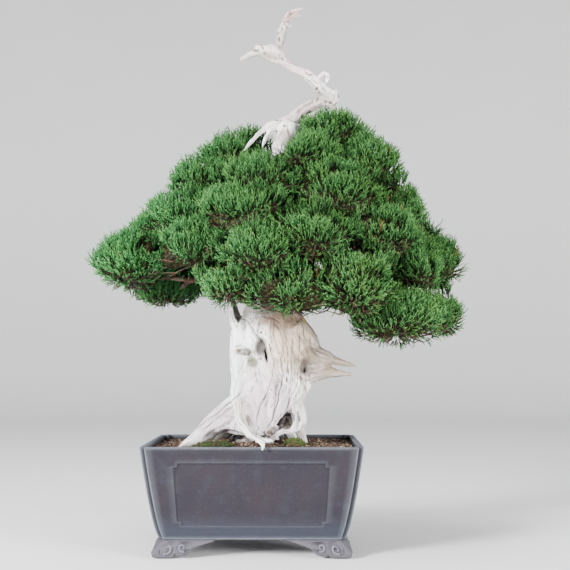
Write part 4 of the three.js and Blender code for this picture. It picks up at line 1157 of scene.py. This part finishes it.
def buildDeadwood():
    mesh = fineCopy("deadwood", "deadwood_grain", woodSet["voxel"], woodSet["even"], woodFills)
    edges = edgeEnds(mesh)
    points, normals = vertexPlaces(mesh), vertexNormals(mesh)
    place, thick, swell, owner = grainPlaces(points, grainLimbs, woodSet["wind"], woodSet["stretch"])
    strength = np.clip(thick / woodSet["fullThick"], woodSet["leastStrength"], 1)
    flutes = layeredNoise(place / woodSet["fluteSize"], 5, 2)
    veins = 1 - np.abs(layeredNoise(place / woodSet["veinSize"], 9, 2)) * 1.6
    fine = layeredNoise(place / woodSet["fineSize"], 14, 2)
    crack = smoothStep(woodSet["crackWidth"], 0.0, np.abs(softNoise(place / woodSet["crackSize"] + 3.3, 27)))
    crack *= smoothStep(-0.1, 0.5, softNoise(points / woodSet["crackPatch"], 31))
    folds, groove = foldDepth(points, normals)
    risen = woodSet["flute"] * flutes + woodSet["vein"] * veins + woodSet["fine"] * fine
    risen = strength * (risen - woodSet["crack"] * crack)
    for dent, radius, depth in woodDents:
        folds += depth * mm * nearPlace(points, dent, radius, 0.2)
    risen = spread(risen, edges, 1, 0.35) + spread(swell, edges, 12) - folds
    moved = points + normals * risen[:, None]
    for limb, centre, radius, move in woodDrawn:
        held = spread((owner == list(grainLimbs).index(limb)).astype(float), edges, 10)
        moved += (held * nearPlace(points, centre, radius, 0.15))[:, None] * np.array(move) * mm
    darkLine = np.maximum(groove, crack * strength * woodSet["crackDark"])
    darkLine = np.clip(darkLine, 0, woodSet["darkest"])
    quads = readRows(mesh.loops, "vertex_index", 1, np.int32).reshape(-1, 4)
    parts = [(moved, np.vstack([quads[:, [0, 1, 2]], quads[:, [0, 2, 3]]]))]
    for rows in woodTips:
        path = smoothLine(fromPot(rows), 4)
        tube, tubeFaces = sweptTube(path[:, :3], path[:, 3], woodSet["tipSides"])
        lumps = woodSet["tipLump"] * softNoise(tube / woodSet["tipLumpSize"], 44)
        parts.append((tube + lumps[:, None], tubeFaces))
    points, faces = gathered(parts)
    tips = points[len(moved):]
    place = np.vstack([place, grainPlaces(tips, grainLimbs, woodSet["wind"], woodSet["stretch"])[0]])
    darkLine = np.concatenate([darkLine, np.zeros(len(tips))])
    mesh = meshFrom("deadwood_grain", points, faces)
    fineHollow, broadHollow = hollowness(points, vertexNormals(mesh), edgeEnds(mesh))
    setVectors(mesh, "grainPlace", place)
    setVectors(mesh, "paintedHollowShade", np.column_stack([fineHollow, broadHollow, darkLine]))
    addPiece("deadwood_grain", mesh, deadwoodMaterial(), ["deadwood"])
    print("deadwood:", len(faces), "triangles")


# Live wood: branches with flaky bark, and the twigs that carry the sprays
barkSet = {"voxel": 0.0032, "even": 18, "flake": 0.0011, "flakeSize": 0.006, "flakeMiddle": 0.6}


def barkMaterial():
    material, tree, shader, place = newMaterial("juniperBark", 0.9)
    stretched = addNode(tree, "Mapping", {"Vector": place, "Scale": (1.0, 1.0, 0.45)}).outputs[0]
    flakes = noiseNode(tree, stretched, 190.0, 5.0, 0.65)
    body = colourRamp(tree, flakes, [
        (0.30, (0.012, 0.006, 0.004)), (0.48, (0.045, 0.018, 0.011)), (0.66, (0.105, 0.050, 0.031)),
    ])
    blotches = mottled(tree, place, 26.0, 700.0, 8.0)[0]
    body = tinted(tree, body, blotches, 0.52, 0.66, (0.115, 0.085, 0.060))  # grey patches
    finishMaterial(tree, shader, body, flakes, 0.8, 0.002)
    return material


def buildLiveWood(bark):
    mesh = fineCopy("live_wood", "live_wood_bark", barkSet["voxel"], barkSet["even"])
    points, normals = vertexPlaces(mesh), vertexNormals(mesh)
    flakes = 1 - np.abs(layeredNoise(points * (1, 1, 0.4) / barkSet["flakeSize"], 61, 2))
    moveVertices(mesh, points + normals * (barkSet["flake"] * (flakes - barkSet["flakeMiddle"]))[:, None])
    mesh.polygons.foreach_set("use_smooth", np.ones(len(mesh.polygons), dtype=bool))
    addPiece("live_wood_bark", mesh, bark, ["live_wood"])
    print("live wood:", len(mesh.polygons), "faces")


# Foliage: each pad is a crowd of small tufts, and each tuft a crowd of upright sprays of cords
padSet = {
    "inset": 0.0125, "pitch": 0.0058, "fill": 0.004, "fillSteps": 6, "near": 0.026, "hidden": 0.004,
    "sharpness": 20.0, "fullGap": 0.016, "shadeDepth": (0.004, -0.006), "turn": 6.28, "jitter": 0.02,
    "slopeStep": 0.12, "slopeShare": 0.8, "besideGap": 0.02, "besideReach": 0.14, "evenness": 1.6,
    "leastGain": 0.001, "mostOverlap": 0.003,
    # the dark core
    "coreSharpness": 90, "coreDepth": 0.006, "coreLump": 0.0046, "coreLumpSize": 0.0075,
    "coreSink": 0.003, "coreTone": -3.0,
    # tufts
    "tuftPitch": 0.027, "tuftDepth": 0.020, "tuftDrop": 0.010, "fewestTufts": 12, "tuftStray": 0.10,
    "tuftFlat": 1.35, "tuftValley": 0.0085, "tuftLift": 0.0034, "tuftMostLift": 0.006, "tuftTint": 0.6,
    # sprays
    "sprayHeight": (0.0150, 0.0225), "sprayStem": 0.00085, "sprayCord": 0.00084, "sprayCords": 4,
    "sprayCordPlaces": (0.12, 0.74), "sprayCordTurn": 2.4, "sprayCordLength": (0.38, 0.58),
    "sprayCordAngle": (13, 31), "sprayFan": 0.75, "sprayOutward": 0.30, "sprayUpward": 0.78,
    "sprayLean": 0.28, "sprayStray": 0.15, "sprayRustTone": 3.0,
    # share of sprays underneath a pad and between its tufts, and the share that a gap takes away
    "keepUnder": 0.32, "keepBetween": 0.45, "keepGap": 0.85,
    # how the gaps' edges wander (size in m, share of the half height), and where a gap ends
    "gapWander": 0.02, "gapWanderShare": 0.5, "gapEdge": (1.5, 0.7), "gapFront": (0.0, -0.04),
}
# Dark gaps between the layers of the crown, seen from the front: ends (x, z), half height and depth (mm)
crownGaps = [
    (-180, 484, -125, 461, 7, 16), (-132, 455, -40, 438, 8, 16), (-140, 502, -109, 496, 4, 12),
    (128, 594, 227, 574, 7, 16), (56, 590, 86, 584, 5, 12), (36, 525, 128, 511, 8, 16),
    (178, 516, 227, 506, 6, 14), (155, 478, 182, 462, 9, 16), (274, 462, 281, 442, 5, 12),
    (178, 424, 250, 418, 6, 14), (-60, 520, -20, 512, 4, 10), (90, 450, 120, 440, 4, 10),
    (56, 702, 38, 648, 20, 42), (24, 672, 4, 640, 9, 20),
]


def gapDepth(points):  # how far the foliage steps back at these places
    flat = (points - potMiddle)[:, [0, 2]] / mm
    most = np.zeros(len(points))
    for x0, z0, x1, z1, half, deep in crownGaps:
        start, line = np.array([x0, z0]), np.array([x1 - x0, z1 - z0])
        part = np.clip((flat - start) @ line / (line @ line), 0, 1)
        away = np.linalg.norm(flat - start - part[:, None] * line, axis=1)
        edge = half * (1 + padSet["gapWanderShare"] * softNoise(points / padSet["gapWander"], 88))
        most = np.maximum(most, deep * mm * smoothStep(*padSet["gapEdge"], away / edge))
    return most * smoothStep(*padSet["gapFront"], points[:, 1])


def ballDirections(count, turn):  # directions spread evenly over a ball
    number = np.arange(count) + 0.5
    z = 1 - 2 * number / count
    angle = math.pi * (1 + math.sqrt(5)) * number + turn
    flat = np.sqrt(1 - z * z)
    return np.stack([flat * np.cos(angle), flat * np.sin(angle), z], axis=1)


def padReach(node):  # how far the pad's shoots reach from its middle, as a function of direction
    low, high = (np.array(corner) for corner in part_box(node))
    middle = (low + high) / 2
    offsets = vertexPlaces(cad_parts[node].data) - middle
    away = np.linalg.norm(offsets, axis=1)
    heading = offsets / away[:, None]

    def reach(directions):
        weight = np.exp(padSet["sharpness"] * (directions @ heading.T - 1))
        return ((weight @ away ** 6) / weight.sum(axis=1)) ** (1 / 6)

    return middle, (high - low) / 2, reach


def sprayMesh(base, heading, height, lean, tint, shade, draw):  # every spray of a pad at once
    count = len(base)
    across, beside = squareTo(heading)
    spin = draw.uniform(0, 2 * math.pi, count)[:, None]
    first = across * np.cos(spin) + beside * np.sin(spin)
    second = np.cross(heading, first)
    tall = height[:, None]
    bend = unit(heading + lean)
    tip = base + heading * tall * 0.5 + bend * tall * 0.5
    points = spikeFoot(base, padSet["sprayStem"], first, second) + [tip]
    climb = [0.0] * 3 + [1.0]
    faces = [spikeFaces]
    for cord, part in enumerate(np.linspace(*padSet["sprayCordPlaces"], padSet["sprayCords"])):
        start = base + (tip - base) * part
        turn = padSet["sprayCordTurn"] * cord + draw.uniform(-0.4, 0.4, count)[:, None]
        out = first * np.cos(turn) + second * np.sin(turn)
        tilt = np.radians(draw.uniform(*padSet["sprayCordAngle"], count))[:, None]
        ahead = bend * np.cos(tilt) + out * np.sin(tilt)
        length = tall * draw.uniform(*padSet["sprayCordLength"], count)[:, None] * (1.1 - 0.5 * part)
        side = np.cross(ahead, out)
        faces.append(spikeFaces + len(points))
        points += spikeFoot(start, padSet["sprayCord"], side, np.cross(side, ahead))
        points.append(start + ahead * length)
        climb += [0.35 * part + 0.1] * 3 + [0.72 + 0.28 * part]
    size = len(points)
    growth = np.column_stack([np.tile(climb, count), np.repeat(tint, size), np.repeat(shade, size)])
    return np.stack(points, axis=1).reshape(-1, 3), copiedFaces(np.vstack(faces), size, count), growth


# Twigs: how thick at both ends, the share of the bare sprays that has one, and how bare those are
twigSet = {"radius": (0.0017, 0.0007), "share": 0.18, "depth": -0.002, "bow": 0.004, "sag": 0.006}


# Where the sprays of a pad stand, swelled into the gaps beside it, and how deep that is in other pads
def padSurface(node, pads, draw):
    middle, half, reach = pads[node]
    power = padSet["evenness"]
    flat = (half[0] * half[1]) ** power + (half[0] * half[2]) ** power + (half[1] * half[2]) ** power
    area = 4 * math.pi * (flat / 3) ** (1 / power)
    count = int(area / padSet["pitch"] ** 2)
    heading = unit(ballDirections(count, draw.uniform(0, padSet["turn"])) * half)
    heading = unit(heading + draw.normal(0, padSet["jitter"], (count, 3)))
    away = reach(heading)
    step = padSet["slopeStep"]
    slope = np.stack([
        reach(unit(heading + step * side)) - reach(unit(heading - step * side)) for side in np.eye(3)
    ], axis=1) / (2 * step)
    slope -= heading * np.sum(slope * heading, axis=1)[:, None]
    outward = unit(heading - padSet["slopeShare"] * slope / away[:, None])
    beside = [pad for name, pad in pads.items()
              if name != node and np.all(np.abs(pad[0] - middle) < pad[1] + half + padSet["besideGap"])]

    def outside(points):  # how far these points stand outside the nearest other pad
        least = np.full(len(points), 1.0)
        for place, _, otherReach in beside:
            offset = points - place
            distance = np.linalg.norm(offset, axis=1)
            close = distance < padSet["besideReach"]
            if close.any():
                gap = distance[close] - otherReach(offset[close] / distance[close][:, None])
                least[close] = np.minimum(least[close], gap)
        return least

    gap = outside(middle + heading * away[:, None])
    growing = (gap > 0) & (gap < padSet["near"])
    for _ in range(padSet["fillSteps"]):
        away = away + padSet["fill"] * growing
        further = outside(middle + heading * away[:, None])
        growing &= (further < gap - padSet["leastGain"]) & (further > -padSet["mostOverlap"])
        gap = further
    away = away - gapDepth(middle + heading * away[:, None])
    place = middle + heading * (away - padSet["inset"])[:, None]
    depth = -outside(place) - padSet["inset"]
    return middle, half, heading, away, place, outward, depth


def padCore(middle, heading, away, seed):  # a dark lumpy ball that fills the pad inside its sprays: painted shade, with the brown of bare twigs
    ball, faces = lumpBall(4)
    weight = np.exp(padSet["coreSharpness"] * (ball @ heading.T - 1))
    reach = (weight @ (away - padSet["inset"])) / weight.sum(axis=1) - padSet["coreDepth"]
    points = middle + ball * reach[:, None]
    lumps = padSet["coreLump"] * layeredNoise(points / padSet["coreLumpSize"], seed, 2)
    points += ball * (lumps - padSet["coreSink"])[:, None]
    none = np.zeros(len(ball))
    growth = np.column_stack([none, none + padSet["coreTone"], none])
    return points, faces, growth


def padTufts(place, heading, half, draw):  # tops of the tufts, each spray's tuft, and how near its top it is
    count = max(padSet["fewestTufts"], int(len(place) * (padSet["pitch"] / padSet["tuftPitch"]) ** 2))
    chosen = ballDirections(count, draw.uniform(0, padSet["turn"])) * half
    chosen = unit(unit(chosen) + draw.normal(0, padSet["tuftStray"], chosen.shape))
    tufts = place[np.argmax(chosen @ heading.T, axis=1)]
    offset = place[:, None] - tufts[None]
    offset[..., 2] *= padSet["tuftFlat"]
    distance = np.linalg.norm(offset, axis=2)
    nearest = distance.argmin(axis=1)
    apart = distance[np.arange(len(place)), nearest] / padSet["tuftPitch"]
    below = (tufts[nearest] - place)[:, 2] / padSet["tuftPitch"]
    return tufts, nearest, smoothStep(0.78, 0.30, apart) * smoothStep(0.62, 0.15, below)


def buildPad(node, pads, leaf, seed):
    draw = np.random.default_rng(seed)
    middle, half, heading, away, place, outward, depth = padSurface(node, pads, draw)
    core = padCore(middle, heading, away, seed)
    tufts, nearest, cap = padTufts(place, heading, half, draw)
    gaps = np.clip(gapDepth(place) / padSet["fullGap"], 0, 1)
    facing = between(padSet["keepUnder"], 1, smoothStep(-1.0, -0.35, outward[:, 2]))
    keep = draw.random(len(place)) < facing * (1 - padSet["keepGap"] * gaps)
    keep &= draw.random(len(place)) < between(padSet["keepBetween"], 1, cap)
    keep &= depth < padSet["hidden"]

    root = tufts[nearest] - outward * padSet["tuftDepth"] - upward * padSet["tuftDrop"]
    base, outward, cap, depth, gaps = place[keep], outward[keep], cap[keep], depth[keep], gaps[keep]
    owner = nearest[keep]
    rise = smoothStep(-0.9, 0.1, outward[:, 2])
    aim = padSet["sprayFan"] * unit(base - root[keep]) + padSet["sprayOutward"] * outward
    aim = aim + upward * (padSet["sprayUpward"] * rise)[:, None]
    aim = unit(aim + draw.normal(0, padSet["sprayStray"], base.shape))
    height = draw.uniform(*padSet["sprayHeight"], len(base)) * between(0.82, 1.12, cap)
    height *= between(0.6, 1, smoothStep(-0.75, -0.15, outward[:, 2]))
    most = padSet["tuftMostLift"]
    lift = np.clip(draw.normal(0, padSet["tuftLift"], len(tufts)), -most, most)[owner]
    base = base + outward * (lift - padSet["tuftValley"] * (1 - cap))[:, None]
    lean = padSet["sprayLean"] * upward + draw.normal(0, padSet["sprayStray"], base.shape)

    tint = 0.4 * softNoise(tufts[owner] / 0.03, 17) + draw.normal(0, 0.3, len(base))
    tint += padSet["tuftTint"] * draw.uniform(-1, 1, len(tufts))[owner]
    tint += 0.35 * smoothStep(-0.05, 0.15, base[:, 0])  # warmer to the right
    rusty = draw.random(len(base)) < 0.0012 + 0.012 * smoothStep(0.55, 0.75, softNoise(base / 0.02, 55))
    tint = np.where(rusty, padSet["sprayRustTone"], np.clip(tint, -1, 1))
    shade = between(0.42, 1, smoothStep(-0.9, -0.25, outward[:, 2])) * between(0.35, 1, cap)
    shade *= (1 - 0.7 * gaps) * between(0.6, 1, smoothStep(*padSet["shadeDepth"], depth))
    parts = [sprayMesh(base, aim, height, lean, tint, shade, draw), core]
    points, faces = gathered([part[:2] for part in parts])
    mesh = meshFrom(node.replace("pad_", "sprays_"), points, faces)
    setVectors(mesh, "growth", np.vstack([part[2] for part in parts]))
    addPiece(mesh.name, mesh, leaf, [node])
    bare = (depth < twigSet["depth"]) & ((outward[:, 2] < -0.1) | (gaps > 0.4))
    under = base[bare]
    return len(faces), (middle, under[draw.random(len(under)) < twigSet["share"]])


def leafMaterial():
    material, tree, shader, place = newMaterial("juniperFoliage", 0.62)
    climb, tone, light = axesOf(tree, storedVector(tree, "growth"))
    across, _, height = axesOf(tree, place)
    wavy = maths(tree, "MULTIPLY_ADD", noiseNode(tree, place, 34.0, 3.0), 0.25, across)
    # near black at each spray's foot, a painted shade among the sprays, to pale green at its tip
    body = colourRamp(tree, climb, [
        (0.0, (0.005, 0.007, 0.004)), (0.3, (0.011, 0.034, 0.010)), (0.6, (0.040, 0.128, 0.034)),
        (0.84, (0.122, 0.310, 0.086)), (1.0, (0.300, 0.570, 0.200)),
    ])
    for row in (
        (tone, 0.1, 1.0, (1.25, 1.0, 0.6), 0.45),  # warmer sprays
        (tone, -0.1, -1.0, (0.55, 0.85, 0.75), 0.5),  # cooler sprays
        (wavy, 0.12, -0.20, (1.0, 1.38, 1.45), 0.8),  # towards the left, where the light comes from
        (height, 0.50, 0.41, (1.45, 1.4, 1.45), 0.8),  # painted light: the lowest pads paler
        (light, 0.75, 0.0, (0.24, 0.26, 0.19), 0.66),  # shaded sprays
    ):
        body = tinted(tree, body, *row, "MULTIPLY")
    body = tinted(tree, body, tone, 1.5, 2.5, (0.17, 0.055, 0.022))  # rusty sprays
    # painted shade: the core is near black, with flecks of twig brown and dim green
    inside = colourRamp(tree, noiseNode(tree, place, 210.0, 3.0, 0.7), [
        (0.40, (0.003, 0.002, 0.001)), (0.50, (0.007, 0.010, 0.003)), (0.56, (0.035, 0.014, 0.008)),
        (0.62, (0.018, 0.050, 0.010)),
    ])
    body = mixColour(tree, maskRamp(tree, tone, -1.5, -2.5), body, inside)
    shader.inputs["Specular IOR Level"].default_value = 0.08
    finishMaterial(tree, shader, body)
    return material


def buildTwigs(pads, bark):  # thin brown twigs from the middle of each pad out to its tufts
    draw = np.random.default_rng(77)
    parts = []
    for middle, tufts in pads:
        for place in tufts:
            start = middle + (place - middle) * draw.uniform(0.2, 0.6)
            start[2] = place[2] + draw.uniform(-0.002, 0.006)
            bow = np.array([draw.normal(0, twigSet["bow"]), draw.normal(0, twigSet["bow"]), -twigSet["sag"]])
            tip = place + (place - middle) * 0.04
            path = np.array([start, (start + tip) / 2 + bow, tip])
            parts.append(sweptTube(path, np.linspace(*twigSet["radius"], 3), 3))
    points, faces = gathered(parts)
    addPiece("twigs", meshFrom("twigs", points, faces), bark)
    print("twigs:", len(faces), "triangles")


def buildFoliage(bark):
    leaf = leafMaterial()
    names = sorted(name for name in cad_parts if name.startswith("pad_"))
    pads = {name: padReach(name) for name in names}
    twigPlaces, total = [], 0
    for number, name in enumerate(names):
        count, places = buildPad(name, pads, leaf, 300 + number)
        total += count
        twigPlaces.append(places)
    print("foliage:", total, "triangles in", len(names), "pads")
    buildTwigs(twigPlaces, bark)


# Moss: cushions of small tufts against the roots
mossSet = {
    "tuft": (0.0016, 0.0036), "width": 0.0009, "pitch": 0.0020, "rough": 0.24, "lumps": 2.6, "surface": 0.88,
    "root": 0.86, "lowest": -0.1, "upright": 30, "stray": 22,
    "rise": {"moss_left": 1.15, "moss_right": 1.35}, "tone": {"moss_left": 0.30, "moss_right": 0.85},
}


def mossMaterial():
    material, tree, shader, place = newMaterial("mossCushion", 0.95)
    climb, tone, _ = axesOf(tree, storedVector(tree, "growth"))
    blotches, specks = mottled(tree, place, 70.0, 800.0, 2.0)
    body = colourRamp(tree, climb, [
        (0.0, (0.012, 0.018, 0.005)), (0.6, (0.060, 0.100, 0.014)), (1.0, (0.15, 0.21, 0.028)),
    ])
    body = tinted(tree, body, blotches, 0.48, 0.60, (0.075, 0.060, 0.022))  # brown patches
    body = tinted(tree, body, tone, 1.0, 0.0, (0.30, 0.34, 0.30), 1, "MULTIPLY")  # the duller cushion
    finishMaterial(tree, shader, body, specks, 0.4, 0.0006)
    return material


def buildMoss():
    moss = mossMaterial()
    for number, node in enumerate(("moss_left", "moss_right")):
        draw = np.random.default_rng(500 + number)
        low, high = (np.array(corner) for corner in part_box(node))
        middle, half = (low + high) / 2, (high - low) / 2
        middle[2], half[2] = low[2] + 0.3 * half[2], mossSet["rise"][node] * half[2]

        def cushion(directions, share):  # places on the lumpy surface, at a share of its size
            lumps = 1 + mossSet["rough"] * layeredNoise(directions * mossSet["lumps"], 90 + number, 2)
            return middle + directions * half * share * lumps[:, None]

        ball, ballFaces = lumpBall(4)
        surface = cushion(ball, mossSet["surface"])
        wanted = int(4 * half[0] * half[1] * math.pi / mossSet["pitch"] ** 2 / 2)
        heading = ballDirections(wanted, 0.3)
        heading = heading[heading[:, 2] > mossSet["lowest"]]
        heading = unit(heading + draw.normal(0, 0.03, heading.shape))
        start = cushion(heading, mossSet["root"])
        stray = draw.normal(0, mossSet["stray"], heading.shape)
        aim = unit(heading / half + upward * mossSet["upright"] + stray)
        tall = draw.uniform(*mossSet["tuft"], len(start))[:, None]
        tufts = np.stack(spikeFoot(start, mossSet["width"], *squareTo(aim)) + [start + aim * tall], axis=1)
        points, faces = gathered([
            (surface, ballFaces), (tufts.reshape(-1, 3), copiedFaces(spikeFaces, 4, len(start))),
        ])
        mesh = meshFrom(node + "_tufts", points, faces)
        climb = np.concatenate([np.full(len(surface), 0.25), np.tile([0.3, 0.3, 0.3, 1.0], len(start))])
        tone = np.full(len(climb), mossSet["tone"][node])
        setVectors(mesh, "growth", np.column_stack([climb, tone, tone]))
        addPiece(mesh.name, mesh, moss, [node])
        print(node, len(faces), "triangles")


# Floor and light
studioSet = {
    "floorRadius": 3.4, "bend": 1.6, "wall": 3.0, "sides": 96, "aim": (0, 0, 0.42),
    "worldColour": (0.93, 0.95, 1.0, 1), "world": 0.40,
}
# Round lamps: place, width (m) and power (W)
lamps = {
    "key": ((-2.1, -1.75, 1.08), 0.9, 300), "fill": ((2.3, -1.7, 0.6), 1.2, 185),
    "top": ((-0.3, -0.3, 2.6), 1.0, 32),
}


def buildStudio():
    radius, bend, sides = studioSet["floorRadius"], studioSet["bend"], studioSet["sides"]
    profile = [(radius, 0.0)]
    for angle in np.radians(np.linspace(-80, 0, 9)):
        profile.append((radius + bend * math.cos(angle), bend * (1 + math.sin(angle))))
    profile.append((radius + bend, bend + studioSet["wall"]))
    turns = 2 * math.pi * np.arange(sides) / sides
    points = [(0, 0, 0)] + [(r * math.cos(t), r * math.sin(t), z) for r, z in profile for t in turns]
    faces = [(0, 1 + i, 1 + (i + 1) % sides) for i in range(sides)]
    faces += [(1 + a, 1 + d, 1 + c, 1 + b) for a, b, c, d in ringFaces(len(profile), sides)]
    mesh = bpy.data.meshes.new("studio_floor")
    mesh.from_pydata(points, [], faces)
    for face in mesh.polygons:
        face.use_smooth = True
    material, tree, shader, place = newMaterial("paleFloor", 0.85)
    patchy = noiseNode(tree, place, 3.0, 2.0)
    finishMaterial(tree, shader, mixColour(tree, patchy, (0.78, 0.78, 0.785, 1), (0.82, 0.82, 0.82, 1)))
    mesh.materials.append(material)
    floor = addObject("studio_floor", mesh)
    world = bpy.data.worlds.new("studioWorld")
    world.use_nodes = True
    background = world.node_tree.nodes["Background"]
    background.inputs["Color"].default_value = studioSet["worldColour"]
    background.inputs["Strength"].default_value = studioSet["world"]
    bpy.context.scene.world = world
    for name, (place, width, power) in lamps.items():
        light = bpy.data.lights.new(name + "Light", "AREA")
        light.shape = "DISK"
        light.size = width
        light.energy = power
        holder = addObject(name + "Light", light)
        holder.location = place
        holder.rotation_euler = (Vector(studioSet["aim"]) - Vector(place)).to_track_quat("-Z", "Y").to_euler()


setCamera()
buildStudio()
print("camera and studio ready")
buildPot()
buildScreens()
buildSoil()
buildDeadwood()
barkSkin = barkMaterial()
buildLiveWood(barkSkin)
buildFoliage(barkSkin)
buildMoss()
